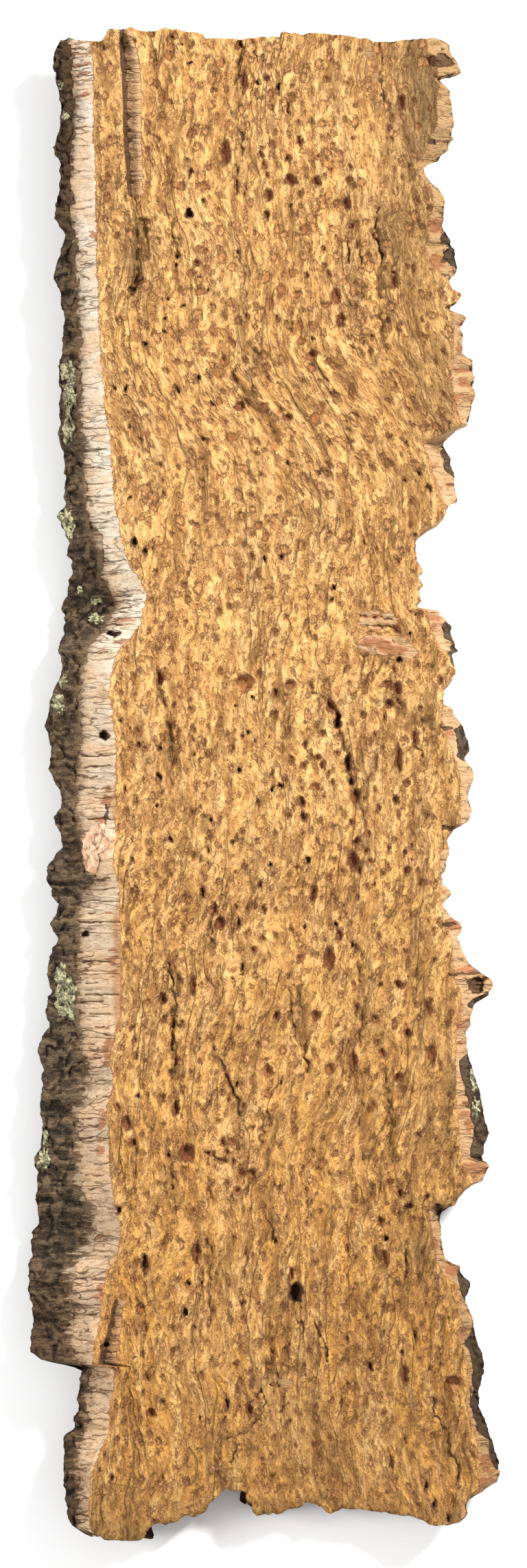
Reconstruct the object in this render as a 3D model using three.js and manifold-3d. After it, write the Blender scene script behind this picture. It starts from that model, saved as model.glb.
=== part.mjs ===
import * as THREE from "three";
import { mergeVertices } from "three/addons/utils/BufferGeometryUtils.js";
import Module from "manifold-3d";

// A slab of virgin cork bark, grown as one piece. It lies on its rough outer side with the pitted inner
// side up. +Y is the end that is uppermost in the photograph and +X is the photograph's right.
// The outlines below are read off the photograph in its pixels, x to the right and y down.

const LENGTH = 1000; // overall length of the slab, mm
const PHOTO_LEFT = 42;
const PHOTO_RIGHT = 727;
const PHOTO_TOP = 41;
const PHOTO_BOTTOM = 2244;
const MM_PER_PIXEL = LENGTH / (PHOTO_BOTTOM - PHOTO_TOP);
const PHOTO_MIDDLE_X = (PHOTO_LEFT + PHOTO_RIGHT) / 2;
const PHOTO_MIDDLE_Y = (PHOTO_TOP + PHOTO_BOTTOM) / 2;

// Cross-section, mm
const MID_THICKNESS = 27;
const LEFT_RISE = 27; // how far the inner face climbs from the trough to its left arris
const RIGHT_RISE = 20;
const LEFT_CURL = 2.5; // power of the climb: higher keeps the middle flatter
const RIGHT_CURL = 3.0;
const BACK_LEFT_RISE = 17; // how far the outer side climbs from the floor to its left rim
const BACK_RIGHT_RISE = 15;
const BACK_CURL = 2.2;
const CUT_SLOPE = 1.15; // fall of the cut left edge for each mm outwards
const CUT_DEPTH_MAX = 20;
const BARK_SLOPE = 0.35; // fall of the dark bark outside it
const TORN_SLOPE = 1.3; // fall of the torn right edge for each mm outwards
const TORN_DEPTH_MIN = 5;
const TORN_DEPTH_MAX = 15;
const MOST_THIN = 7; // the slab is nowhere thinner than this

// Relief, mm
const WAVE_HEIGHT = 1.9;
const LUMP_HEIGHT = 1.0;
const EDGE_ROUGHNESS = 1.3;
const BACK_FISSURE_HEIGHT = 6;
const END_ROUGHNESS = 2.2;

// Rows along the length. The rims take every row and the broad faces every second one.
const ROWS = 200;
const END_REACH = 120; // pixels over which the rows swing round to follow a ragged end

// Left silhouette, [y, x]
const LEFT_OUTLINE = [
  [60, 90], [70, 84], [85, 79], [95, 80], [115, 83], [140, 88], [157, 91], [172, 88], [190, 91],
  [196, 86], [215, 80], [226, 82], [236, 91], [250, 88], [258, 91], [270, 88], [280, 90], [287, 84],
  [305, 83], [318, 80], [330, 88], [338, 96], [350, 95], [368, 90], [383, 83], [405, 79], [412, 80],
  [427, 91], [445, 88], [460, 98], [478, 93], [520, 92], [523, 87], [555, 86], [572, 91], [590, 87],
  [615, 88], [635, 86], [658, 94], [680, 95], [705, 97], [725, 94], [738, 97], [742, 91], [752, 82],
  [760, 88], [782, 98], [790, 103], [808, 99], [815, 106], [835, 107], [845, 101], [868, 100],
  [878, 90], [888, 88], [895, 95], [925, 95], [935, 87], [942, 86], [975, 93], [993, 84], [1008, 80],
  [1025, 73], [1040, 72], [1056, 65], [1075, 73], [1095, 75], [1118, 72], [1140, 80], [1155, 91],
  [1175, 91], [1190, 79], [1202, 82], [1215, 90], [1235, 92], [1245, 80], [1252, 79], [1263, 68],
  [1285, 69], [1296, 76], [1307, 77], [1318, 86], [1333, 82], [1345, 73], [1362, 82], [1370, 85],
  [1393, 73], [1420, 69], [1440, 74], [1448, 78], [1452, 72], [1476, 67], [1495, 74], [1512, 62],
  [1530, 56], [1545, 58], [1558, 65], [1565, 61], [1590, 63], [1615, 58], [1640, 62], [1670, 61],
  [1688, 50], [1700, 51], [1708, 57], [1728, 54], [1750, 53], [1785, 58], [1795, 48], [1820, 46],
  [1832, 49], [1842, 42], [1855, 44], [1880, 42], [1905, 48], [1935, 49], [1955, 45], [1968, 45],
  [1980, 62], [1984, 80], [1989, 100], [1991, 118], [1996, 122], [2010, 117], [2025, 118],
  [2037, 112], [2050, 118], [2067, 108], [2080, 112], [2086, 106], [2090, 98], [2098, 93],
  [2112, 96], [2140, 94], [2165, 95], [2172, 101], [2178, 95], [2190, 97], [2200, 100], [2212, 99],
  [2222, 106], [2233, 125], [2236, 131],
];

// Right silhouette, [y, x]
const RIGHT_OUTLINE = [
  [60, 648], [64, 653], [78, 655], [92, 666], [107, 670], [112, 656], [114, 636], [120, 637],
  [125, 645], [134, 654], [157, 657], [184, 660], [190, 656], [203, 658], [208, 651], [217, 652],
  [228, 640], [234, 637], [240, 618], [248, 616], [256, 617], [268, 627], [278, 640], [291, 648],
  [305, 646], [328, 643], [340, 648], [352, 656], [358, 653], [362, 660], [383, 664], [390, 665],
  [402, 660], [406, 651], [417, 655], [420, 650], [424, 655], [427, 670], [432, 671], [443, 665],
  [450, 648], [456, 655], [460, 672], [464, 677], [470, 676], [479, 667], [488, 673], [518, 671],
  [525, 688], [543, 687], [549, 691], [562, 688], [576, 693], [588, 687], [605, 683], [620, 680],
  [628, 663], [638, 650], [648, 645], [670, 658], [678, 656], [688, 661], [706, 662], [731, 665],
  [737, 652], [750, 647], [765, 638], [776, 620], [786, 605], [810, 604], [832, 614], [842, 609],
  [853, 615], [860, 610], [875, 614], [885, 606], [888, 625], [890, 638], [900, 646], [912, 656],
  [930, 660], [950, 665], [953, 657], [965, 660], [982, 663], [995, 655], [1008, 645], [1027, 645],
  [1030, 656], [1043, 661], [1058, 673], [1078, 681], [1095, 683], [1107, 675], [1120, 687],
  [1130, 689], [1150, 683], [1165, 681], [1180, 686], [1195, 682], [1204, 672], [1209, 660],
  [1225, 650], [1243, 653], [1260, 647], [1270, 648], [1275, 643], [1288, 643], [1298, 654],
  [1304, 655], [1318, 643], [1335, 655], [1344, 668], [1355, 671], [1367, 665], [1392, 674],
  [1405, 683], [1418, 700], [1426, 714], [1433, 718], [1450, 712], [1463, 692], [1480, 684],
  [1492, 684], [1505, 677], [1530, 680], [1575, 693], [1597, 700], [1625, 706], [1650, 711],
  [1668, 706], [1680, 705], [1688, 697], [1694, 708], [1700, 711], [1720, 702], [1727, 683],
  [1740, 672], [1750, 661], [1755, 664], [1762, 645], [1778, 641], [1800, 640], [1838, 648],
  [1845, 669], [1855, 668], [1867, 682], [1875, 684], [1897, 677], [1922, 689], [1945, 692],
  [1982, 703], [1995, 705], [2026, 697], [2048, 697], [2060, 703], [2088, 712], [2100, 717],
  [2125, 725], [2145, 727], [2160, 722], [2168, 706], [2173, 703], [2178, 688], [2190, 678],
  [2202, 680], [2210, 677], [2215, 671],
];

// Ragged top and bottom ends, [x, y]
const TOP_OUTLINE = [
  [90, 60], [98, 58], [112, 61], [132, 65], [152, 66], [155, 55], [158, 47], [163, 45], [172, 47],
  [185, 43], [191, 41], [205, 48], [222, 48], [240, 41], [262, 45], [295, 49], [300, 57], [325, 55],
  [348, 57], [366, 55], [390, 54], [407, 53], [409, 47], [412, 46], [440, 49], [473, 48], [508, 53],
  [535, 57], [549, 63], [580, 61], [600, 59], [630, 58], [648, 60],
];
const BOTTOM_OUTLINE = [
  [131, 2236], [140, 2233], [152, 2240], [190, 2243], [200, 2244], [207, 2241], [209, 2234],
  [218, 2222], [233, 2217], [240, 2223], [247, 2219], [258, 2216], [270, 2208], [283, 2211],
  [295, 2206], [301, 2200], [303, 2193], [310, 2188], [322, 2173], [330, 2169], [337, 2172],
  [352, 2172], [361, 2177], [365, 2183], [366, 2198], [369, 2205], [376, 2210], [390, 2206],
  [405, 2206], [425, 2199], [436, 2197], [445, 2190], [468, 2195], [476, 2204], [483, 2205],
  [500, 2197], [530, 2200], [560, 2204], [583, 2207], [600, 2209], [615, 2213], [625, 2222],
  [650, 2220], [671, 2215],
];

// Where the dark outer bark of the left edge meets its pale cut face, [y, x]
const BARK_BOUNDARY = [
  [60, 100], [80, 105], [150, 112], [200, 108], [300, 106], [400, 113], [500, 118], [600, 116],
  [640, 122], [720, 125], [760, 130], [780, 148], [840, 150], [860, 165], [880, 170], [920, 150],
  [940, 128], [1000, 118], [1120, 118], [1180, 110], [1210, 120], [1260, 125], [1280, 140],
  [1300, 125], [1340, 112], [1400, 118], [1440, 112], [1520, 118], [1600, 140], [1620, 112],
  [1700, 118], [1740, 120], [1760, 140], [1820, 135], [1850, 108], [1900, 105], [1968, 108],
  [1984, 116], [1991, 132], [2000, 136], [2040, 124], [2070, 128], [2110, 112], [2150, 116],
  [2200, 112], [2222, 118], [2236, 137],
];

// Left arris of the inner face, [y, x]
const LEFT_ARRIS = [
  [60, 131], [70, 133], [100, 137], [200, 137], [300, 140], [400, 142], [450, 144], [500, 147],
  [550, 150], [600, 154], [650, 162], [700, 166], [740, 168], [760, 173], [800, 181], [828, 190],
  [850, 208], [865, 216], [890, 210], [910, 205], [930, 190], [950, 172], [970, 165], [1010, 160],
  [1040, 163], [1080, 170], [1140, 170], [1200, 168], [1260, 165], [1290, 174], [1360, 176],
  [1400, 177], [1480, 176], [1500, 168], [1540, 161], [1580, 165], [1620, 155], [1660, 160],
  [1700, 160], [1740, 165], [1780, 175], [1800, 177], [1830, 172], [1850, 158], [1880, 150],
  [1920, 147], [1960, 137], [1984, 136], [1991, 166], [2000, 168], [2040, 162], [2080, 160],
  [2100, 152], [2120, 142], [2140, 135], [2180, 131], [2222, 132], [2236, 141],
];

// Right arris of the inner face, [y, x]
const RIGHT_ARRIS = [
  [60, 622], [78, 622], [85, 634], [130, 640], [150, 635], [190, 637], [200, 627], [215, 623],
  [234, 612], [240, 607], [258, 612], [280, 628], [300, 632], [330, 623], [350, 626], [360, 620],
  [390, 630], [404, 645], [440, 652], [452, 646], [460, 660], [520, 660], [550, 656], [590, 663],
  [620, 672], [630, 655], [645, 615], [670, 625], [690, 631], [710, 638], [737, 648], [765, 634],
  [786, 601], [810, 600], [832, 609], [860, 606], [885, 602], [890, 622], [920, 628], [945, 640],
  [955, 652], [982, 657], [1008, 641], [1030, 643], [1060, 646], [1080, 652], [1100, 660],
  [1120, 668], [1160, 672], [1200, 668], [1209, 655], [1232, 641], [1320, 640], [1355, 652],
  [1370, 658], [1400, 660], [1430, 664], [1450, 672], [1480, 672], [1500, 662], [1600, 665],
  [1660, 670], [1690, 672], [1720, 690], [1740, 668], [1755, 655], [1762, 625], [1800, 630],
  [1840, 637], [1855, 645], [1870, 665], [1930, 670], [1940, 665], [1980, 681], [2015, 682],
  [2040, 678], [2080, 690], [2120, 697], [2160, 700], [2180, 680], [2200, 672], [2215, 665],
];

// Lines of full curl, which run smoothly past the bays and tongues of the two edges, [y, x]
const LEFT_CURL_LINE = [
  [41, 135], [400, 142], [600, 152], [750, 170], [860, 200], [970, 168], [1300, 172], [1500, 170],
  [1850, 160], [2000, 155], [2244, 135],
];
const RIGHT_CURL_LINE = [
  [41, 635], [250, 625], [400, 640], [580, 662], [700, 645], [830, 622], [950, 645], [1150, 668],
  [1260, 648], [1450, 668], [1680, 675], [1800, 648], [1950, 672], [2130, 698], [2244, 680],
];

// The split beside the left strip: distances in pixels from the left arris to the strip's own lip, to the
// floor of the split and to the lip of the main slab, and the split's depth and the strip's lift in mm, [y, value]
const STRIP_LIP = [[43, 42], [100, 39], [285, 45], [330, 50], [400, 44], [440, 30], [520, 14],
  [1880, 14], [1905, 13], [1940, 14], [1984, 8], [1991, 12]];
const SPLIT_FLOOR = [[43, 46], [100, 43], [285, 49], [330, 60], [400, 54], [440, 44], [520, 28],
  [1880, 24], [1905, 17], [1940, 17], [1984, 12], [1991, 24]];
const SLAB_LIP = [[43, 62], [75, 66], [140, 70], [285, 69], [330, 72], [400, 66], [440, 60],
  [520, 44], [1880, 40], [1905, 32], [1984, 35], [1991, 38]];
const SPLIT_DEPTH = [[43, 12], [285, 11], [330, 5], [440, 2], [480, 0], [1880, 0], [1905, 5],
  [1950, 9], [1984, 12], [1991, 0]];
const STRIP_LIFT = [[43, 3], [285, 2.5], [480, 0], [1880, 0], [1950, 4], [1984, 6], [1991, 0]];

// Broad ridges (height above 0) and hollows of the inner face: [height mm, half width px, points [x, y]]
const BANDS = [
  [-2.0, 16, [[350, 400], [360, 490], [388, 545], [405, 625]]],
  [-1.6, 14, [[345, 545], [360, 580], [400, 640]]],
  [-2.2, 18, [[505, 300], [520, 420], [512, 490], [545, 560], [562, 610]]],
  [-1.4, 14, [[300, 690], [318, 740], [332, 780]]],
  [-2.4, 16, [[222, 950], [234, 1010], [248, 1060], [250, 1110]]],
  [-1.6, 14, [[470, 1000], [490, 1040], [505, 1110], [530, 1190]]],
  [-2.4, 15, [[226, 1420], [246, 1500], [250, 1560], [254, 1610]]],
  [-2.4, 15, [[322, 1510], [332, 1570], [350, 1640]]],
  [-1.6, 13, [[382, 1440], [396, 1490], [412, 1530]]],
  [-2.4, 16, [[520, 1570], [526, 1640], [536, 1690]]],
  [-1.6, 13, [[440, 1450], [438, 1530]]],
  [-2.0, 15, [[380, 1740], [396, 1800], [400, 1860]]],
  [-1.8, 16, [[303, 1780], [303, 1870], [312, 1950]]],
  [-2.0, 16, [[414, 1900], [418, 1990]]],
  [-2.0, 15, [[520, 1890], [532, 1960], [548, 2020]]],
  [-1.8, 15, [[528, 2075], [580, 2105], [600, 2140]]],
  [-2.2, 20, [[614, 1770], [618, 1900]]],
  [-1.6, 16, [[470, 1900], [484, 2000]]],
  [1.8, 18, [[452, 1880], [466, 1990]]],
  [1.6, 20, [[190, 1530], [200, 1680]]],
  [1.4, 24, [[250, 80], [245, 240]]],
  [1.4, 24, [[275, 380], [290, 560]]],
  [1.5, 18, [[430, 120], [425, 300]]],
  [1.5, 20, [[560, 120], [570, 260]]],
  [1.4, 20, [[470, 1700], [440, 1800], [420, 1850]]],
  [1.4, 18, [[598, 1560], [592, 1700]]],
];

// Large holes of the inner face: [x, y, half width px, half length px, depth mm]
const HOLES = [
  [431, 1884, 11, 17, 12],
  [357, 996, 13, 14, 6],
  [212, 1841, 7, 13, 8],
  [508, 1112, 7, 14, 6],
  [511, 1139, 6, 9, 5],
  [492, 1050, 7, 14, 6],
  [274, 312, 7, 8, 6],
  [423, 264, 8, 7, 5],
  [329, 222, 6, 14, 4],
  [286, 1828, 6, 12, 5],
  [480, 1556, 8, 10, 5],
  [478, 1397, 6, 12, 5],
  [634, 2046, 6, 15, 7],
  [596, 1757, 7, 7, 6],
];

// Crusts of lichen on the outer bark of the left edge: [y, half width px, half length px, height mm]
const LICHENS = [
  [126, 7, 10, 2.4],
  [172, 8, 9, 2.4],
  [545, 12, 20, 3],
  [585, 10, 18, 3],
  [632, 9, 18, 2.6],
  [766, 10, 20, 3],
  [1027, 9, 17, 2.6],
  [1452, 13, 36, 3],
  [1690, 11, 19, 3],
];

// Where the bark stands on the floor: [x mm, y mm, radius mm]
const FEET = [
  [-48, 330, 26],
  [44, 350, 24],
  [-40, 0, 24],
  [52, -40, 22],
  [-46, -350, 26],
  [60, -330, 24],
];
const FOOT_SHOULDER = 22; // mm over which a foot rises into the bark around it

// Reads a value off a hand-drawn line of [position, value] points.
function along(line, at) {
  if (at <= line[0][0]) return line[0][1];
  for (let i = 1; i < line.length; i += 1) {
    const [position, value] = line[i];
    if (at <= position) {
      const [before, valueBefore] = line[i - 1];
      return valueBefore + ((value - valueBefore) * (at - before)) / (position - before);
    }
  }
  return line[line.length - 1][1];
}

function clamp(value, low, high) {
  return Math.min(Math.max(value, low), high);
}

function lerp(from, to, share) {
  return from + (to - from) * share;
}

function smooth(share) {
  const t = clamp(share, 0, 1);
  return t * t * (3 - 2 * t);
}

function scatter(i, j) {
  const n = Math.sin(i * 127.1 + j * 311.7) * 43758.5453;
  return n - Math.floor(n);
}

// Smooth random relief between -1 and 1, one lump per unit
function relief(x, y) {
  const i = Math.floor(x);
  const j = Math.floor(y);
  const s = smooth(x - i);
  const t = smooth(y - j);
  const upper = lerp(scatter(i, j), scatter(i + 1, j), s);
  const lower = lerp(scatter(i, j + 1), scatter(i + 1, j + 1), s);
  return lerp(upper, lower, t) * 2 - 1;
}

// Distance in pixels from a point to a drawn line of [x, y] points
function distanceTo(points, x, y) {
  let nearest = Infinity;
  for (let i = 1; i < points.length; i += 1) {
    const [ax, ay] = points[i - 1];
    const [bx, by] = points[i];
    const squared = (bx - ax) ** 2 + (by - ay) ** 2;
    const share = clamp(((x - ax) * (bx - ax) + (y - ay) * (by - ay)) / squared, 0, 1);
    nearest = Math.min(nearest, Math.hypot(x - lerp(ax, bx, share), y - lerp(ay, by, share)));
  }
  return nearest;
}

// Edges of the slab at a height y in the photograph
const leftEdge = (y) => along(LEFT_OUTLINE, y);
const rightEdge = (y) => along(RIGHT_OUTLINE, y);
const leftArris = (y) => along(LEFT_ARRIS, y);
const barkBoundary = (y) => clamp(along(BARK_BOUNDARY, y), leftEdge(y) + 4, leftArris(y) - 4);
const rightArris = (y) => Math.min(along(RIGHT_ARRIS, y), rightEdge(y) - 3);
const leftCurlLine = (y) => along(LEFT_CURL_LINE, y);
const rightCurlLine = (y) => along(RIGHT_CURL_LINE, y);
const troughLine = (y) => 400 + 18 * Math.sin(y / 420);

// Height of the inner face before the split and the edges, mm
function innerHeight(x, y) {
  const trough = troughLine(y);
  const leftward = Math.max(0, (trough - x) / (trough - leftCurlLine(y)));
  const rightward = Math.max(0, (x - trough) / (rightCurlLine(y) - trough));
  const curl = LEFT_RISE * leftward ** LEFT_CURL + RIGHT_RISE * rightward ** RIGHT_CURL;
  let bands = 0;
  for (const [height, halfWidth, points] of BANDS) {
    bands += height * (1 - smooth(distanceTo(points, x, y) / (halfWidth * 1.6)));
  }
  const lean = (y - 600) / 9;
  const slant = y > 420 && y < 800 ? lean * smooth(1 - Math.abs(y - 610) / 190) : 0;
  const waves = WAVE_HEIGHT * relief((x - slant) / 52, y / 170);
  const lumps = LUMP_HEIGHT * relief(x / 27 + 40, y / 40);
  return MID_THICKNESS + curl + bands + waves + lumps;
}

const arrisHeight = (y) => innerHeight(leftArris(y), y) + along(STRIP_LIFT, y);

function cutFaceFootHeight(y) {
  const fall = CUT_SLOPE * MM_PER_PIXEL * (leftArris(y) - barkBoundary(y));
  return arrisHeight(y) - Math.min(fall, CUT_DEPTH_MAX) + EDGE_ROUGHNESS * relief(3, y / 22);
}

function leftEdgeHeight(y) {
  const fall = BARK_SLOPE * MM_PER_PIXEL * (barkBoundary(y) - leftEdge(y));
  return cutFaceFootHeight(y) - 2 - fall + EDGE_ROUGHNESS * relief(9, y / 17);
}

function rightEdgeHeight(y) {
  const fall = TORN_SLOPE * MM_PER_PIXEL * (rightEdge(y) - rightArris(y));
  const depth = clamp(fall, TORN_DEPTH_MIN, TORN_DEPTH_MAX);
  return innerHeight(rightArris(y), y) - depth + EDGE_ROUGHNESS * relief(5, y / 19);
}

// Height of the whole upper surface, cut edge and torn edge included
function upperHeight(x, y) {
  const boundary = barkBoundary(y);
  const arris = leftArris(y);
  const tear = rightArris(y);
  if (x < boundary) {
    const share = (x - leftEdge(y)) / (boundary - leftEdge(y));
    return lerp(leftEdgeHeight(y), cutFaceFootHeight(y), share);
  }
  if (x < arris) {
    return lerp(cutFaceFootHeight(y), arrisHeight(y), (x - boundary) / (arris - boundary));
  }
  if (x > tear) {
    const share = (x - tear) / (rightEdge(y) - tear);
    return lerp(innerHeight(tear, y), rightEdgeHeight(y), share);
  }
  return innerHeight(x, y);
}

const toMillimetres = (x, y, z) => [
  (x - PHOTO_MIDDLE_X) * MM_PER_PIXEL,
  (PHOTO_MIDDLE_Y - y) * MM_PER_PIXEL,
  z,
];

// Height of the outer side above the floor, mm
function backHeight(x, y) {
  const trough = troughLine(y);
  const leftward = Math.max(0, (trough - x) / (trough - leftEdge(y)));
  const rightward = Math.max(0, (x - trough) / (rightEdge(y) - trough));
  const curl = BACK_LEFT_RISE * leftward ** BACK_CURL + BACK_RIGHT_RISE * rightward ** BACK_CURL;
  const fissures = relief(x / 30 + 7, y / 95) + 0.5 * relief(x / 23 + 60, y / 41);
  const free = curl + 2.2 + BACK_FISSURE_HEIGHT * (0.5 + 0.5 * fissures);
  const [xMm, yMm] = toMillimetres(x, y, 0);
  let share = 1;
  for (const [footX, footY, radius] of FEET) {
    const outside = Math.hypot(xMm - footX, (yMm - footY) / 1.8) - radius;
    share = Math.min(share, smooth(outside / FOOT_SHOULDER));
  }
  const ceiling = upperHeight(x, y) - MOST_THIN;
  return Math.min(Math.max(free, 0.6) * share, ceiling);
}

// Lines that run the length of the slab: where each is across it, how high, and whether it takes every row
const innerShares = [0.06, 0.13, 0.2, 0.27, 0.34, 0.41, 0.48, 0.55, 0.62, 0.69, 0.76, 0.83, 0.9, 0.955];
const backShares = [0.975, 0.92, 0.85, 0.78, 0.71, 0.64, 0.57, 0.5, 0.43, 0.36, 0.29, 0.22, 0.15, 0.08, 0.025];
const onInner = (distances) => (y) => leftArris(y) + along(distances, y);
const innerLines = [
  { across: leftEdge, height: (x, y) => leftEdgeHeight(y), fine: true },
  { across: barkBoundary, height: (x, y) => cutFaceFootHeight(y), fine: true },
  { across: leftArris, height: (x, y) => arrisHeight(y), fine: false },
  {
    across: onInner(STRIP_LIP),
    height: (x, y) => innerHeight(x, y) + along(STRIP_LIFT, y),
    fine: false,
  },
  {
    across: onInner(SPLIT_FLOOR),
    height: (x, y) => innerHeight(x, y) - along(SPLIT_DEPTH, y),
    fine: false,
  },
  { across: onInner(SLAB_LIP), height: innerHeight, fine: false },
  ...innerShares.map((share) => ({
    across: (y) => lerp(leftArris(y) + along(SLAB_LIP, y), rightArris(y), share),
    height: innerHeight,
    fine: false,
  })),
  { across: rightArris, height: innerHeight, fine: true },
  { across: rightEdge, height: (x, y) => rightEdgeHeight(y), fine: true },
];
const backLines = backShares.map((share) => ({
  across: (y) => lerp(leftEdge(y), rightEdge(y), share),
  height: backHeight,
  fine: false,
}));

// Moves a row's end to the nearest drawn corner of the outline, so that the corners stay sharp.
function shiftToCorner(outline, y, reach) {
  let best = 0;
  let nearest = reach;
  for (const [cornerY] of outline) {
    if (Math.abs(cornerY - y) < nearest) {
      nearest = Math.abs(cornerY - y);
      best = cornerY - y;
    }
  }
  return best;
}

const rowSpacing = (PHOTO_BOTTOM - PHOTO_TOP) / ROWS;

function pointOn(line, row) {
  const level = PHOTO_TOP + row * rowSpacing;
  const inside = row > 0 && row < ROWS;
  const leftShift = inside ? shiftToCorner(LEFT_OUTLINE, level, rowSpacing * 0.45) : 0;
  const rightShift = inside ? shiftToCorner(RIGHT_OUTLINE, level, rowSpacing * 0.45) : 0;
  let x = line.across(level);
  let y = level;
  for (let turn = 0; turn < 4; turn += 1) {
    const share = clamp((x - leftEdge(y)) / (rightEdge(y) - leftEdge(y)), 0, 1);
    const nominal = level + lerp(leftShift, rightShift, share);
    const nearTop = 1 - smooth((nominal - PHOTO_TOP) / END_REACH);
    const nearBottom = 1 - smooth((PHOTO_BOTTOM - nominal) / END_REACH);
    y = nominal + nearTop * (along(TOP_OUTLINE, x) - PHOTO_TOP);
    y += nearBottom * (along(BOTTOM_OUTLINE, x) - PHOTO_BOTTOM);
    x = line.across(y);
  }
  return toMillimetres(x, y, line.height(x, y));
}

// Builds the skin: a closed loop of lines, joined along the length and capped at the two ends.
function skin() {
  const positions = [];
  const faces = [];
  const add = (point) => positions.push(point) - 1;
  const face = (a, b, c) => {
    if (a !== b && b !== c && c !== a) faces.push([a, b, c]);
  };
  const loop = [...innerLines, ...backLines].map((line) => {
    const points = [];
    for (let row = 0; row <= ROWS; row += line.fine ? 1 : 2) {
      points[row] = add(pointOn(line, row));
    }
    return { points, fine: line.fine };
  });

  loop.forEach((line, index) => {
    const next = loop[(index + 1) % loop.length];
    const a = line.points;
    const b = next.points;
    for (let row = 0; row < ROWS; row += 2) {
      const middle = row + 1;
      const end = row + 2;
      if (line.fine && next.fine) {
        face(a[row], a[middle], b[middle]);
        face(a[row], b[middle], b[row]);
        face(a[middle], a[end], b[end]);
        face(a[middle], b[end], b[middle]);
      } else if (line.fine) {
        face(a[row], a[middle], b[row]);
        face(a[middle], b[end], b[row]);
        face(a[middle], a[end], b[end]);
      } else if (next.fine) {
        face(a[row], b[middle], b[row]);
        face(a[row], a[end], b[middle]);
        face(a[end], b[end], b[middle]);
      } else {
        face(a[row], a[end], b[end]);
        face(a[row], b[end], b[row]);
      }
    }
  });

  // Joins two lines of points that share their ends, both running left to right.
  const zip = (upper, lower, outward) => {
    let i = 0;
    let j = 0;
    while (i < upper.length - 1 || j < lower.length - 1) {
      const upperNext = i < upper.length - 1 ? positions[upper[i + 1]][0] : Infinity;
      const lowerNext = j < lower.length - 1 ? positions[lower[j + 1]][0] : Infinity;
      const stepUpper = upperNext <= lowerNext;
      const third = stepUpper ? upper[i + 1] : lower[j + 1];
      if (outward) face(upper[i], third, lower[j]);
      else face(upper[i], lower[j], third);
      if (stepUpper) i += 1;
      else j += 1;
    }
  };

  for (const row of [0, ROWS]) {
    const atTop = row === 0;
    const upper = loop.slice(0, innerLines.length).map((line) => line.points[row]);
    const first = upper[0];
    const last = upper[upper.length - 1];
    const behind = loop.slice(innerLines.length).map((line) => line.points[row]).reverse();
    const broken = upper.slice(1, -1).map((index, count) => {
      const [x, y, z] = positions[index];
      const floor = backHeight(x / MM_PER_PIXEL + PHOTO_MIDDLE_X, PHOTO_MIDDLE_Y - y / MM_PER_PIXEL);
      const inset = END_ROUGHNESS * (0.2 + relief(count * 1.7, row));
      return add([x, atTop ? y - inset : y + inset, lerp(floor, z, 0.5)]);
    });
    zip(upper, [first, ...broken, last], atTop);
    zip([first, ...broken, last], [first, ...behind, last], atTop);
  }

  const geometry = new THREE.BufferGeometry();
  geometry.setAttribute("position", new THREE.Float32BufferAttribute(positions.flat(), 3));
  geometry.setIndex(faces.flat());
  return geometry;
}

const wasm = await Module();
wasm.setup();

function asSolid(geometry) {
  const bare = geometry.clone();
  bare.deleteAttribute("normal");
  bare.deleteAttribute("uv");
  const merged = mergeVertices(bare, 1e-3);
  return new wasm.Manifold(
    new wasm.Mesh({
      numProp: 3,
      vertProperties: merged.attributes.position.array,
      triVerts: new Uint32Array(merged.index.array),
    }),
  );
}

// A blunt faceted lump at a place in the photograph
function lump(x, y, z, halfWidth, halfLength, halfHeight) {
  const geometry = new THREE.IcosahedronGeometry(1, 0);
  geometry.scale(halfWidth * MM_PER_PIXEL, halfLength * MM_PER_PIXEL, halfHeight);
  geometry.translate(...toMillimetres(x, y, z));
  return asSolid(geometry);
}

let solid = asSolid(skin());
for (const [x, y, halfWidth, halfLength, depth] of HOLES) {
  solid = solid.subtract(lump(x, y, innerHeight(x, y), halfWidth, halfLength, depth));
}
for (const [y, halfWidth, halfLength, height] of LICHENS) {
  const x = lerp(leftEdge(y), barkBoundary(y), 0.3);
  solid = solid.add(lump(x, y, upperHeight(x, y) - 0.5, halfWidth, halfLength, height));
}

const result = solid.getMesh();
const geometry = new THREE.BufferGeometry();
geometry.setAttribute("position", new THREE.Float32BufferAttribute(result.vertProperties, 3));
geometry.setIndex([...result.triVerts]);
geometry.computeVertexNormals();

const bark = new THREE.Mesh(
  geometry,
  new THREE.MeshStandardMaterial({ color: "#c39a5f", roughness: 0.9, metalness: 0 }),
);
bark.name = "cork_bark";

const root = new THREE.Group();
root.add(bark);

export default root;
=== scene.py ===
import math

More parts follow.
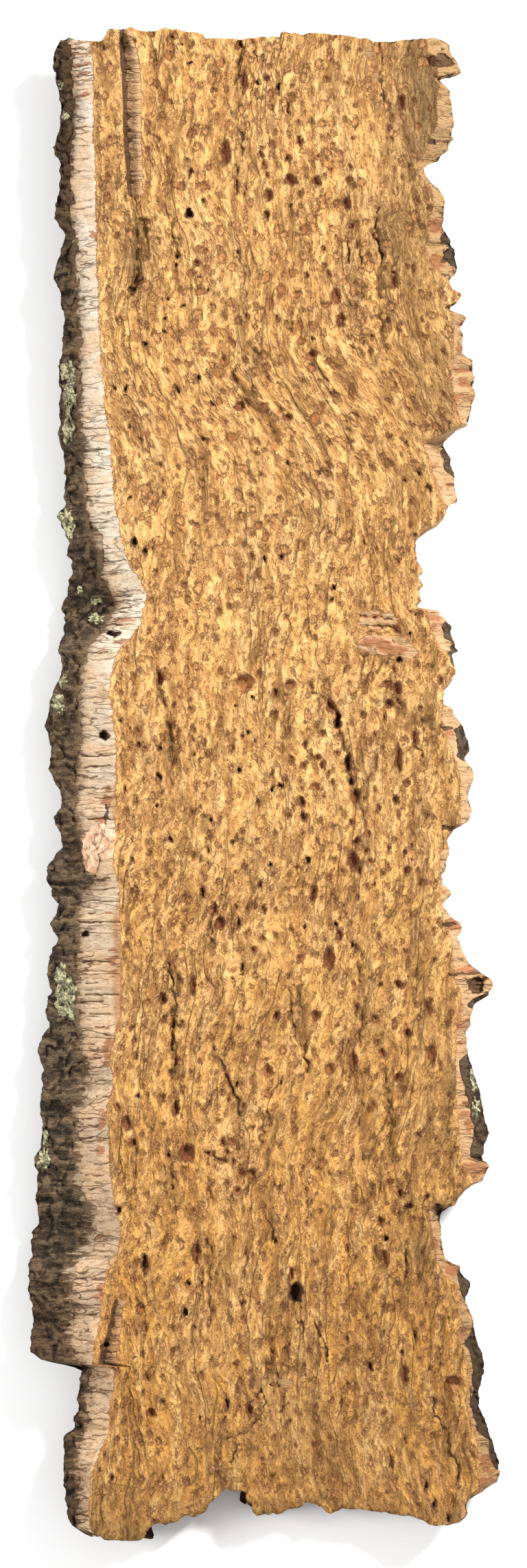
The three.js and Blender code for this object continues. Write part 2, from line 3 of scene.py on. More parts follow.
import bmesh
import bpy
import numpy as np
from bpy.props import FloatProperty, FloatVectorProperty, IntProperty, PointerProperty
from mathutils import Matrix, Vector


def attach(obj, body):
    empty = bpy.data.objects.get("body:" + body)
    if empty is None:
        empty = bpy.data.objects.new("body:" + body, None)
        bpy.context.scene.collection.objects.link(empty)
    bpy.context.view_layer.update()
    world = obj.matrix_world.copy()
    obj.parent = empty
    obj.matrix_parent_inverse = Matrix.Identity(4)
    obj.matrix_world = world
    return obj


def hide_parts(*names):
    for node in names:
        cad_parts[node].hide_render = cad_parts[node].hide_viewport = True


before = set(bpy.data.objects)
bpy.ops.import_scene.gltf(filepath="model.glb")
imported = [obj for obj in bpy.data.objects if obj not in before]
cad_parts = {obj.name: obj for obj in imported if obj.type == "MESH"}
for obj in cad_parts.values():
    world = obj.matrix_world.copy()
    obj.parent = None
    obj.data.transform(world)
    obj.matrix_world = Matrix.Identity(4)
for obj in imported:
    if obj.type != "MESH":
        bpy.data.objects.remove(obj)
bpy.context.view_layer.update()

bl_info = {
    "name": "Cork bark",
    "version": (1, 0, 0),
    "blender": (4, 5, 0),
    "location": "3D View > Sidebar > Cork bark",
    "description": "Builds a slab of virgin cork bark, seen on its pitted inner side",
    "category": "Add Mesh",
}

# The photograph's frame, in its pixels, x to the right and y down
FRAME_WIDTH = 768
FRAME_HEIGHT = 2285
PHOTO_LEFT = 42
PHOTO_RIGHT = 727
PHOTO_TOP = 41
PHOTO_BOTTOM = 2244
PHOTO_MIDDLE_X = (PHOTO_LEFT + PHOTO_RIGHT) / 2
PHOTO_MIDDLE_Y = (PHOTO_TOP + PHOTO_BOTTOM) / 2
MM = 0.001
PIXEL = 1000 / (PHOTO_BOTTOM - PHOTO_TOP)  # mm

# Cross-section, mm, as in the solid
MID_THICKNESS = 27
LEFT_RISE = 27
RIGHT_RISE = 20
LEFT_CURL = 2.5
RIGHT_CURL = 3.0
BACK_LEFT_RISE = 17
BACK_RIGHT_RISE = 15
BACK_CURL = 2.2
CUT_SLOPE = 1.15
CUT_DEPTH_MAX = 20
BARK_SLOPE = 0.35
TORN_SLOPE = 1.3
TORN_DEPTH_MIN = 5
TORN_DEPTH_MAX = 15
MOST_THIN = 7
WAVE_HEIGHT = 1.9
LUMP_HEIGHT = 1.0
EDGE_ROUGHNESS = 1.3
BACK_FISSURE_HEIGHT = 6
END_REACH = 120
FOOT_SHOULDER = 22

# Drawings: px of the face on each side of its border, a distance outside every pit, crack and painted shade
# in px, and the column that parts the left half from the right half
FACE_REACH = 12
FAR_OUTSIDE = -8.0
MIDDLE_COLUMN = 400

# Drawings that the finish of the cork reads, one number at each vertex
CORK_DRAWINGS = ("face", "ridge", "pit", "tone", "crack_and_shade", "stain_and_shade", "rust", "tint", "foot")
FOOT_REACH = (-30, 60)  # px from the foot of the cut face, outward and inward

# The most triangles that each of the two large pieces may have
CORK_TRIANGLES = 196000
BARK_TRIANGLES = 190000

# Left silhouette, [y, x]
LEFT_OUTLINE = [
    (60, 90), (70, 84), (85, 79), (95, 80), (115, 83), (140, 88), (157, 91), (172, 88), (190, 91),
    (196, 86), (215, 80), (226, 82), (236, 91), (250, 88), (258, 91), (270, 88), (280, 90), (287, 84),
    (305, 83), (318, 80), (330, 88), (338, 96), (350, 95), (368, 90), (383, 83), (405, 79), (412, 80),
    (427, 91), (445, 88), (460, 98), (478, 93), (520, 92), (523, 87), (555, 86), (572, 91), (590, 87),
    (615, 88), (635, 86), (658, 94), (680, 95), (705, 97), (725, 94), (738, 97), (742, 91), (752, 82),
    (760, 88), (782, 98), (790, 103), (808, 99), (815, 106), (835, 107), (845, 101), (868, 100),
    (878, 90), (888, 88), (895, 95), (925, 95), (935, 87), (942, 86), (975, 93), (993, 84), (1008, 80),
    (1025, 73), (1040, 72), (1056, 65), (1075, 73), (1095, 75), (1118, 72), (1140, 80), (1155, 91),
    (1175, 91), (1190, 79), (1202, 82), (1215, 90), (1235, 92), (1245, 80), (1252, 79), (1263, 68),
    (1285, 69), (1296, 76), (1307, 77), (1318, 86), (1333, 82), (1345, 73), (1362, 82), (1370, 85),
    (1393, 73), (1420, 69), (1440, 74), (1448, 78), (1452, 72), (1476, 67), (1495, 74), (1512, 62),
    (1530, 56), (1545, 58), (1558, 65), (1565, 61), (1590, 63), (1615, 58), (1640, 62), (1670, 61),
    (1688, 50), (1700, 51), (1708, 57), (1728, 54), (1750, 53), (1785, 58), (1795, 48), (1820, 46),
    (1832, 49), (1842, 42), (1855, 44), (1880, 42), (1905, 48), (1935, 49), (1955, 45), (1968, 45),
    (1980, 62), (1984, 80), (1989, 100), (1991, 118), (1996, 122), (2010, 117), (2025, 118),
    (2037, 112), (2050, 118), (2067, 108), (2080, 112), (2086, 106), (2090, 98), (2098, 93),
    (2112, 96), (2140, 94), (2165, 95), (2172, 101), (2178, 95), (2190, 97), (2200, 100), (2212, 99),
    (2222, 106), (2233, 125), (2236, 131),
]

# Right silhouette, [y, x]
RIGHT_OUTLINE = [
    (60, 648), (64, 653), (78, 655), (92, 666), (107, 670), (112, 656), (114, 636), (120, 637),
    (125, 645), (134, 654), (157, 657), (184, 660), (190, 656), (203, 658), (208, 651), (217, 652),
    (228, 640), (234, 637), (240, 618), (248, 616), (256, 617), (268, 627), (278, 640), (291, 648),
    (305, 646), (328, 643), (340, 648), (352, 656), (358, 653), (362, 660), (383, 664), (390, 665),
    (402, 660), (406, 651), (417, 655), (420, 650), (424, 655), (427, 670), (432, 671), (443, 665),
    (450, 648), (456, 655), (460, 672), (464, 677), (470, 676), (479, 667), (488, 673), (518, 671),
    (525, 688), (543, 687), (549, 691), (562, 688), (576, 693), (588, 687), (605, 683), (620, 680),
    (628, 663), (638, 650), (648, 645), (670, 658), (678, 656), (688, 661), (706, 662), (731, 665),
    (737, 652), (750, 647), (765, 638), (776, 620), (786, 605), (810, 604), (832, 614), (842, 609),
    (853, 615), (860, 610), (875, 614), (885, 606), (888, 625), (890, 638), (900, 646), (912, 656),
    (930, 660), (950, 665), (953, 657), (965, 660), (982, 663), (995, 655), (1008, 645), (1027, 645),
    (1030, 656), (1043, 661), (1058, 673), (1078, 681), (1095, 683), (1107, 675), (1120, 687),
    (1130, 689), (1150, 683), (1165, 681), (1180, 686), (1195, 682), (1204, 672), (1209, 660),
    (1225, 650), (1243, 653), (1260, 647), (1270, 648), (1275, 643), (1288, 643), (1298, 654),
    (1304, 655), (1318, 643), (1335, 655), (1344, 668), (1355, 671), (1367, 665), (1392, 674),
    (1405, 683), (1418, 700), (1426, 714), (1433, 718), (1450, 712), (1463, 692), (1480, 684),
    (1492, 684), (1505, 677), (1530, 680), (1575, 693), (1597, 700), (1625, 706), (1650, 711),
    (1668, 706), (1680, 705), (1688, 697), (1694, 708), (1700, 711), (1720, 702), (1727, 683),
    (1740, 672), (1750, 661), (1755, 664), (1762, 645), (1778, 641), (1800, 640), (1838, 648),
    (1845, 669), (1855, 668), (1867, 682), (1875, 684), (1897, 677), (1922, 689), (1945, 692),
    (1982, 703), (1995, 705), (2026, 697), (2048, 697), (2060, 703), (2088, 712), (2100, 717),
    (2125, 725), (2145, 727), (2160, 722), (2168, 706), (2173, 703), (2178, 688), (2190, 678),
    (2202, 680), (2210, 677), (2215, 671),
]

# Ragged top and bottom ends, [x, y]
TOP_OUTLINE = [
    (90, 60), (98, 58), (112, 61), (132, 65), (152, 66), (155, 55), (158, 47), (163, 45), (172, 47),
    (185, 43), (191, 41), (205, 48), (222, 48), (240, 41), (262, 45), (295, 49), (300, 57), (325, 55),
    (348, 57), (366, 55), (390, 54), (407, 53), (409, 47), (412, 46), (440, 49), (473, 48), (508, 53),
    (535, 57), (549, 63), (580, 61), (600, 59), (630, 58), (648, 60),
]
BOTTOM_OUTLINE = [
    (131, 2236), (140, 2233), (152, 2240), (190, 2243), (200, 2244), (207, 2241), (209, 2234),
    (218, 2222), (233, 2217), (240, 2223), (247, 2219), (258, 2216), (270, 2208), (283, 2211),
    (295, 2206), (301, 2200), (303, 2193), (310, 2188), (322, 2173), (330, 2169), (337, 2172),
    (352, 2172), (361, 2177), (365, 2183), (366, 2198), (369, 2205), (376, 2210), (390, 2206),
    (405, 2206), (425, 2199), (436, 2197), (445, 2190), (468, 2195), (476, 2204), (483, 2205),
    (500, 2197), (530, 2200), (560, 2204), (583, 2207), (600, 2209), (615, 2213), (625, 2222),
    (650, 2220), (671, 2215),
]

# Where the dark outer bark of the left edge meets its pale cut face, [y, x]
BARK_BOUNDARY = [
    (60, 100), (80, 105), (150, 112), (200, 108), (300, 106), (400, 113), (500, 118), (600, 116),
    (640, 122), (720, 125), (760, 130), (780, 148), (840, 150), (860, 165), (880, 170), (920, 150),
    (940, 128), (1000, 118), (1120, 118), (1180, 110), (1210, 120), (1260, 125), (1280, 140),
    (1300, 125), (1340, 112), (1400, 118), (1440, 112), (1520, 118), (1600, 140), (1620, 112),
    (1700, 118), (1740, 120), (1760, 140), (1820, 135), (1850, 108), (1900, 105), (1968, 108),
    (1984, 116), (1991, 132), (2000, 136), (2040, 124), (2070, 128), (2110, 112), (2150, 116),
    (2200, 112), (2222, 118), (2236, 137),
]

# How far the dark of the bark stays back from that line, [y, px]
DARK_STAYS_BACK = [
    (0, 0), (760, 0), (785, 12), (810, 0), (1130, 0), (1290, 0), (1545, 0), (1570, 10), (1600, 18),
    (1625, 3), (1740, 5), (1775, 14), (1825, 16), (1855, 5), (1890, 0), (2000, 4), (2244, 0),
]

# Left arris of the inner face, [y, x]
LEFT_ARRIS = [
    (60, 131), (70, 133), (100, 137), (200, 137), (300, 140), (400, 142), (450, 144), (500, 147),
    (550, 150), (600, 154), (650, 162), (700, 166), (740, 168), (760, 173), (800, 181), (828, 190),
    (850, 208), (865, 216), (890, 210), (910, 205), (930, 190), (950, 172), (970, 165), (1010, 160),
    (1040, 163), (1080, 170), (1140, 170), (1200, 168), (1260, 165), (1290, 174), (1360, 176),
    (1400, 177), (1480, 176), (1500, 168), (1540, 161), (1580, 165), (1620, 155), (1660, 160),
    (1700, 160), (1740, 165), (1780, 175), (1800, 177), (1830, 172), (1850, 158), (1880, 150),
    (1920, 147), (1960, 137), (1984, 136), (1991, 166), (2000, 168), (2040, 162), (2080, 160),
    (2100, 152), (2120, 142), (2140, 135), (2180, 131), (2222, 132), (2236, 141),
]

# Right arris of the inner face, [y, x]
RIGHT_ARRIS = [
    (60, 622), (78, 622), (85, 634), (130, 640), (150, 635), (190, 637), (200, 627), (215, 623),
    (234, 612), (240, 607), (258, 612), (280, 628), (300, 632), (330, 623), (350, 626), (360, 620),
    (390, 630), (404, 645), (440, 652), (452, 646), (460, 660), (520, 660), (550, 656), (590, 663),
    (620, 672), (630, 655), (645, 615), (670, 625), (690, 631), (710, 638), (737, 648), (765, 634),
    (786, 601), (810, 600), (832, 609), (860, 606), (885, 602), (890, 622), (920, 628), (945, 640),
    (955, 652), (982, 657), (1008, 641), (1030, 643), (1060, 646), (1080, 652), (1100, 660),
    (1120, 668), (1160, 672), (1200, 668), (1209, 655), (1232, 641), (1320, 640), (1355, 652),
    (1370, 658), (1400, 660), (1430, 664), (1450, 672), (1480, 672), (1500, 662), (1600, 665),
    (1660, 670), (1690, 672), (1720, 690), (1740, 668), (1755, 655), (1762, 625), (1800, 630),
    (1840, 637), (1855, 645), (1870, 665), (1930, 670), (1940, 665), (1980, 681), (2015, 682),
    (2040, 678), (2080, 690), (2120, 697), (2160, 700), (2180, 680), (2200, 672), (2215, 665),
]

# Lines of full curl, which run smoothly past the bays and tongues of the two edges, [y, x]
LEFT_CURL_LINE = [
    (41, 135), (400, 142), (600, 152), (750, 170), (860, 200), (970, 168), (1300, 172), (1500, 170),
    (1850, 160), (2000, 155), (2244, 135),
]
RIGHT_CURL_LINE = [
    (41, 635), (250, 625), (400, 640), (580, 662), (700, 645), (830, 622), (950, 645), (1150, 668),
    (1260, 648), (1450, 668), (1680, 675), (1800, 648), (1950, 672), (2130, 698), (2244, 680),
]

# The split beside the left strip: distances in pixels from the left arris to the strip's own lip, to the
# floor of the split and to the lip of the main slab, and the split's depth and the strip's lift in mm
STRIP_LIP = [
    (43, 42), (100, 39), (285, 45), (330, 50), (400, 44), (440, 30), (520, 14),
    (1880, 14), (1905, 13), (1940, 14), (1984, 8), (1991, 12),
]
SPLIT_FLOOR = [
    (43, 46), (100, 43), (285, 49), (330, 60), (400, 54), (440, 44), (520, 28),
    (1880, 24), (1905, 17), (1940, 17), (1984, 12), (1991, 24),
]
SLAB_LIP = [
    (43, 62), (75, 66), (140, 70), (285, 69), (330, 72), (400, 66), (440, 60),
    (520, 44), (1880, 40), (1905, 32), (1984, 35), (1991, 38),
]
SPLIT_DEPTH = [
    (43, 12), (285, 11), (330, 5), (440, 2), (480, 0), (1880, 0), (1905, 5), (1950, 9), (1984, 12),
    (1991, 0),
]
OPEN_SPLIT = [(36, 288), (1890, 1988)]  # rows where the far wall of the split is bare cork
SPLIT_SHOWN = 0.7  # share of the split's depth that its loose crumbs leave open
STRIP_LIFT = [(43, 3), (285, 2.5), (480, 0), (1880, 0), (1950, 4), (1984, 6), (1991, 0)]

# Broad ridges (height above 0) and hollows of the inner face: height mm, half width px, points (x, y)
BANDS = [
    (-2.0, 16, [(350, 400), (360, 490), (388, 545), (405, 625)]),
    (-1.6, 14, [(345, 545), (360, 580), (400, 640)]),
    (-2.2, 18, [(505, 300), (520, 420), (512, 490), (545, 560), (562, 610)]),
    (-1.4, 14, [(300, 690), (318, 740), (332, 780)]),
    (-2.4, 16, [(222, 950), (234, 1010), (248, 1060), (250, 1110)]),
    (-1.6, 14, [(470, 1000), (490, 1040), (505, 1110), (530, 1190)]),
    (-2.4, 15, [(226, 1420), (246, 1500), (250, 1560), (254, 1610)]),
    (-2.4, 15, [(322, 1510), (332, 1570), (350, 1640)]),
    (-1.6, 13, [(382, 1440), (396, 1490), (412, 1530)]),
    (-2.4, 16, [(520, 1570), (526, 1640), (536, 1690)]),
    (-1.6, 13, [(440, 1450), (438, 1530)]),
    (-2.0, 15, [(380, 1740), (396, 1800), (400, 1860)]),
    (-1.8, 16, [(303, 1780), (303, 1870), (312, 1950)]),
    (-2.0, 16, [(414, 1900), (418, 1990)]),
    (-2.0, 15, [(520, 1890), (532, 1960), (548, 2020)]),
    (-1.8, 15, [(528, 2075), (580, 2105), (600, 2140)]),
    (-2.2, 20, [(614, 1770), (618, 1900)]),
    (-1.6, 16, [(470, 1900), (484, 2000)]),
    (1.8, 18, [(452, 1880), (466, 1990)]),
    (1.6, 20, [(190, 1530), (200, 1680)]),
    (1.4, 24, [(250, 80), (245, 240)]),
    (1.4, 24, [(275, 380), (290, 560)]),
    (1.5, 18, [(430, 120), (425, 300)]),
    (1.5, 20, [(560, 120), (570, 260)]),
    (1.4, 20, [(470, 1700), (440, 1800), (420, 1850)]),
    (1.4, 18, [(598, 1560), (592, 1700)]),
]

# Where the bark stands on the floor: x mm, y mm, radius mm
FEET = [
    (-48, 330, 26), (44, 350, 24), (-40, 0, 24), (52, -40, 22), (-46, -350, 26), (60, -330, 24),
]

# Pits of the inner face, by how they look: x, y, width, length, px
BLACK_PITS = [
    (265, 65, 4, 4), (277, 91, 5, 5), (252, 55, 5, 6), (275, 312, 13, 14), (298, 292, 5, 6),
    (406, 128, 5, 15), (258, 373, 6, 9), (257, 388, 5, 5), (288, 551, 5, 8), (245, 437, 5, 6),
    (303, 423, 5, 5), (267, 446, 4, 5), (213, 503, 6, 9), (240, 465, 5, 5), (240, 483, 5, 5),
    (184, 568, 5, 7), (190, 727, 5, 6), (195, 790, 9, 11), (211, 805, 5, 13), (420, 675, 5, 6),
    (411, 811, 6, 6), (385, 815, 5, 6), (486, 856, 6, 6), (484, 875, 5, 6), (581, 962, 9, 7),
    (597, 922, 5, 6), (368, 1016, 5, 5), (345, 1028, 5, 5), (348, 1122, 5, 6), (283, 1098, 4, 5),
    (393, 1260, 5, 6), (407, 1146, 7, 5), (397, 1150, 4, 5), (361, 1065, 4, 5), (352, 1073, 4, 5),
    (232, 1131, 5, 7), (229, 1173, 5, 7), (232, 1092, 5, 7), (204, 1085, 5, 7), (391, 1073, 4, 5),
    (248, 1223, 10, 7), (340, 1228, 4, 5), (308, 1194, 4, 5), (508, 1113, 8, 26), (511, 1138, 7, 14),
    (492, 1051, 9, 26), (352, 1411, 4, 13), (345, 1580, 5, 9), (203, 1595, 4, 5), (212, 1841, 11, 24),
    (597, 1757, 9, 11), (637, 1757, 7, 7), (173, 1763, 7, 9), (275, 1870, 5, 9), (293, 1870, 5, 8),
    (431, 1884, 20, 30), (331, 2045, 5, 17), (605, 1945, 4, 15), (540, 1990, 6, 17), (448, 1255, 6, 12),
    (621, 2163, 4, 14), (633, 2190, 4, 16), (653, 2210, 4, 12), (490, 1345, 5, 8), (514, 1378, 5, 9),
    (347, 1345, 5, 12), (297, 1300, 6, 16), (246, 1683, 5, 10), (270, 1912, 8, 12), (563, 1805, 7, 7),
    (154, 1958, 9, 7), (166, 923, 20, 9), (126, 1360, 9, 13), (153, 1073, 14, 14),
]
RED_PITS = [
    (348, 65, 7, 9), (356, 116, 7, 22), (329, 222, 10, 26), (423, 263, 14, 12), (437, 205, 7, 10),
    (462, 265, 8, 9), (392, 285, 9, 13), (390, 313, 6, 9), (506, 296, 7, 15), (585, 150, 7, 16),
    (490, 432, 9, 19), (497, 466, 9, 14), (575, 412, 9, 13), (455, 515, 10, 9), (420, 608, 10, 8),
    (349, 591, 10, 9), (401, 1010, 7, 12), (234, 990, 7, 13), (580, 1003, 8, 15), (568, 1025, 8, 9),
    (482, 1030, 9, 13), (517, 1160, 10, 15), (581, 1106, 6, 28), (577, 1165, 7, 9), (519, 1227, 7, 9),
    (515, 1255, 12, 19), (524, 1267, 7, 8), (592, 1268, 7, 9), (440, 1168, 8, 12), (443, 1190, 7, 10),
    (322, 1345, 10, 13), (281, 1435, 6, 19), (237, 1455, 9, 12), (254, 1490, 7, 10), (238, 1484, 6, 8),
    (403, 1480, 7, 10), (457, 1303, 6, 19), (495, 1363, 6, 13), (480, 1396, 11, 24), (583, 1435, 13, 7),
    (625, 1465, 6, 17), (460, 1480, 8, 13), (595, 1505, 7, 9), (630, 1535, 8, 19), (515, 1545, 7, 20),
    (580, 1570, 8, 10), (257, 1615, 7, 15), (186, 1635, 10, 15), (193, 1663, 9, 11), (273, 1680, 14, 20),
    (286, 1828, 8, 23), (425, 1855, 6, 13), (583, 1740, 7, 9), (622, 1742, 7, 9), (556, 1778, 7, 9),
    (221, 2057, 8, 9), (363, 2055, 9, 13), (590, 2003, 7, 21), (660, 2009, 16, 9), (420, 230, 6, 8),
]
# Flat peach spots with a dark outline
PEACH_SPOTS = [
    (277, 400, 10, 8), (265, 425, 9, 8), (291, 425, 14, 9), (256, 401, 8, 12), (284, 472, 12, 8),
    (296, 516, 9, 8), (259, 528, 9, 8), (274, 530, 10, 8), (319, 543, 15, 13), (326, 526, 14, 12),
    (456, 474, 13, 13), (436, 474, 10, 18), (435, 429, 10, 10), (476, 444, 12, 9), (439, 496, 12, 9),
    (388, 535, 13, 11), (386, 517, 13, 10), (514, 571, 9, 22), (459, 611, 13, 17), (339, 637, 18, 13),
    (386, 594, 12, 13), (311, 481, 11, 18), (394, 440, 10, 20), (409, 423, 10, 18), (454, 519, 13, 13),
    (454, 536, 13, 9), (479, 527, 12, 10), (468, 595, 12, 18), (427, 399, 12, 10), (320, 583, 9, 8),
    (320, 91, 13, 15), (319, 112, 10, 16), (247, 82, 12, 12), (261, 271, 15, 12), (296, 271, 16, 13),
    (305, 243, 9, 10), (144, 222, 9, 10), (156, 262, 8, 12), (158, 290, 9, 12), (254, 54, 8, 11),
    (257, 1614, 8, 17), (236, 1601, 10, 9), (337, 1663, 12, 9), (307, 1680, 12, 8), (324, 1691, 14, 8),
    (390, 1595, 12, 10), (214, 1841, 10, 20), (488, 1682, 9, 9), (471, 1693, 10, 14), (347, 1738, 9, 11),
]
BROWN_PITS = [
    (438, 282, 7, 9), (465, 228, 6, 8), (482, 248, 6, 8), (511, 243, 7, 8), (515, 202, 9, 5),
    (401, 193, 6, 8), (380, 225, 8, 11), (385, 240, 7, 9), (390, 255, 6, 9), (475, 115, 7, 9),
    (572, 172, 6, 8), (472, 363, 6, 8), (523, 356, 6, 8), (447, 402, 7, 9), (480, 400, 7, 9),
    (348, 368, 5, 11), (287, 383, 9, 10), (567, 465, 6, 9), (542, 490, 7, 9), (541, 513, 7, 8),
    (357, 996, 24, 26), (424, 998, 12, 12), (565, 997, 14, 9), (470, 1068, 7, 9), (445, 1085, 7, 9),
    (462, 1103, 7, 9), (490, 1097, 7, 8), (470, 1115, 8, 9), (478, 1128, 7, 8), (460, 1147, 14, 10),
    (485, 1140, 7, 9), (425, 1108, 8, 12), (443, 1115, 7, 9), (592, 1140, 8, 10), (548, 1111, 4, 24),
    (551, 1177, 5, 9), (535, 1240, 8, 9), (540, 1255, 7, 8), (433, 1263, 7, 9), (420, 1187, 7, 8),
    (312, 1325, 14, 16), (370, 1320, 7, 9), (385, 1325, 7, 9), (370, 1383, 10, 10), (215, 1460, 12, 9),
    (390, 1560, 12, 18), (237, 1600, 7, 9), (307, 1510, 7, 9), (378, 1520, 6, 9), (437, 1397, 7, 9),
    (546, 1485, 7, 9), (558, 1535, 9, 13), (481, 1557, 12, 16), (172, 1610, 7, 10), (345, 1735, 8, 11),
    (325, 1665, 7, 9), (332, 1680, 7, 9), (340, 1693, 7, 9), (352, 1710, 9, 14), (366, 1712, 10, 16),
    (560, 1835, 12, 24), (205, 1906, 11, 15), (212, 1932, 7, 17), (214, 2006, 9, 8), (567, 1722, 9, 9),
    (520, 1470, 8, 14), (605, 1075, 8, 20), (616, 1285, 12, 8), (535, 1215, 9, 9), (512, 1200, 7, 9),
]

# Cracks of the inner face: half width px, points (x, y)
FACE_CRACKS = [
    (6.0, [(689, 1433), (695, 1440)]), (3.6, [(692, 1427), (705, 1426)]),
    (1.1, [(368, 55), (372, 74), (378, 95)]), (0.9, [(222, 125), (231, 130), (240, 137)]),
    (1.2, [(553, 60), (557, 84), (555, 110), (558, 145)]), (1.1, [(418, 152), (421, 165)]),
    (1.0, [(553, 303), (545, 330), (540, 340), (553, 355), (556, 385)]), (0.9, [(507, 350), (508, 385)]),
    (0.9, [(527, 360), (527, 385)]), (1.1, [(355, 268), (361, 275), (358, 284)]),
    (1.0, [(505, 970), (497, 985)]), (0.9, [(592, 1094), (603, 1088), (615, 1093)]),
    (1.2, [(300, 1680), (312, 1684), (322, 1688), (330, 1694)]),
    (1.2, [(383, 1765), (397, 1795), (405, 1812)]), (1.1, [(592, 1820), (590, 1838), (593, 1856)]),
    (1.2, [(322, 1548), (334, 1575), (345, 1602)]), (1.0, [(249, 1700), (250, 1734)]),
    (0.9, [(240, 1690), (240, 1712)]),
    (1.1, [(365, 2045), (380, 2027), (388, 2038), (380, 2065), (360, 2085), (330, 2098)]),
    (1.0, [(327, 2065), (325, 2080), (331, 2092)]), (1.0, [(345, 2115), (335, 2130)]),
    (1.0, [(393, 1952), (397, 1970), (396, 1986)]),
    (1.0, [(390, 2000), (405, 1999), (406, 2020), (392, 2019)]), (1.0, [(418, 2045), (408, 2060)]),
    (1.3, [(437, 1903), (431, 1918), (440, 1930), (441, 1944)]),
    (1.6, [(630, 2032), (636, 2045), (631, 2060), (642, 2070), (650, 2082), (653, 2100), (658, 2115)]),
    (1.3, [(658, 2115), (667, 2125), (668, 2170)]), (1.1, [(565, 2110), (572, 2125), (570, 2140)]),
    (1.0, [(527, 900), (548, 898), (574, 903)]), (0.9, [(525, 912), (550, 911), (580, 918)]),
    (1.0, [(247, 1402), (252, 1450), (262, 1498)]), (1.2, [(455, 1918), (468, 1950), (480, 1982)]),
]

# Creases of the inner face, soft and wide, each with painted shade along it: half width px, depth mm, points
# (x, y)
CREASES = [
    (3.6, 3.4, [(572, 1026), (584, 1034), (596, 1040)]),
    (3.2, 3.0, [(602, 1042), (618, 1050), (632, 1062)]),
    (2.2, 2.6, [(445, 996), (474, 1022), (490, 1046)]),
    (2.8, 2.4, [(352, 60), (346, 120), (342, 170)]),
    (2.6, 2.4, [(352, 190), (350, 240), (340, 290), (336, 330)]),
    (2.4, 2.2, [(236, 290), (252, 330), (262, 372)]),
    (2.8, 2.4, [(416, 470), (448, 520), (486, 570), (510, 640)]),
    (2.6, 2.2, [(296, 1180), (300, 1240), (296, 1300), (310, 1380)]),
    (2.8, 2.4, [(420, 1440), (430, 1500), (452, 1560)]),
    (2.6, 2.2, [(520, 1380), (530, 1450), (524, 1520)]),
    (2.6, 2.2, [(262, 1420), (250, 1480), (256, 1550)]),
    (2.6, 2.2, [(390, 1620), (372, 1700), (352, 1760)]),
    (2.6, 2.2, [(560, 1560), (572, 1640), (566, 1700)]),
    (2.6, 2.2, [(341, 472), (356, 500), (373, 521), (386, 539)]),
    (1.8, 1.6, [(341, 541), (345, 562), (360, 575), (373, 579)]),
    (1.8, 1.6, [(407, 562), (422, 581), (439, 594)]),
    (1.6, 1.4, [(401, 616), (411, 633), (426, 641)]),
    (1.8, 1.6, [(504, 483), (516, 500), (534, 526)]),
    (2.0, 1.2, [(356, 419), (360, 455), (349, 474)]),
    (4.5, 1.2, [(326, 421), (327, 440), (325, 459)]),
    (2.8, 2.4, [(322, 1540), (326, 1564), (337, 1586), (350, 1622)]),
    (1.6, 1.4, [(216, 1592), (213, 1631), (221, 1648)]),
    (1.8, 1.6, [(385, 1770), (395, 1783), (399, 1804), (408, 1813)]),
    (1.4, 1.2, [(275, 1766), (292, 1779)]),
    (1.4, 1.2, [(247, 1742), (254, 1751)]),
    (3.0, 2.2, [(545, 330), (556, 385), (552, 440), (560, 500), (572, 560)]),
    (2.6, 2.0, [(246, 1400), (250, 1450), (254, 1520), (252, 1590)]),
    (2.4, 1.8, [(436, 1440), (440, 1500), (446, 1560)]),
    (2.4, 2.0, [(520, 1560), (526, 1620), (530, 1690)]),
    (2.6, 2.2, [(302, 1790), (306, 1850), (310, 1920)]),
    (2.2, 1.8, [(415, 1900), (420, 1950), (416, 2000)]),
    (2.6, 2.0, [(220, 960), (234, 1010), (246, 1060), (250, 1120), (246, 1180)]),
    (2.2, 1.8, [(472, 1000), (492, 1050), (508, 1110), (532, 1190)]),
    (4.0, 3.0, [(209, 325), (211, 360), (206, 395), (192, 424)]),
    (2.4, 2.0, [(598, 245), (606, 300), (612, 340)]),
    (3.0, 2.0, [(574, 1020), (600, 1034), (640, 1056)]),
    (2.6, 2.6, [(183, 290), (192, 320), (197, 345), (203, 380), (204, 405), (196, 418), (184, 433)]),
    (2.2, 2.0, [(152, 72), (166, 70), (182, 66), (198, 60)]),
    (2.0, 1.6, [(524, 926), (545, 921), (570, 928), (592, 940)]),
    (1.8, 1.6, [(528, 952), (552, 957), (580, 962), (600, 958)]),
]

# Lumps that stand on the slab: x, y, width, length px, height mm
LUMPS = [
    (172, 57, 44, 26, 3.6), (160, 66, 16, 16, 1.6), (190, 50, 14, 14, 1.4), (660, 2005, 32, 12, 1.8),
    (645, 2012, 8, 22, 1.6), (675, 2010, 8, 20, 1.6), (190, 860, 46, 60, 2.0), (548, 940, 70, 34, 1.6),
]
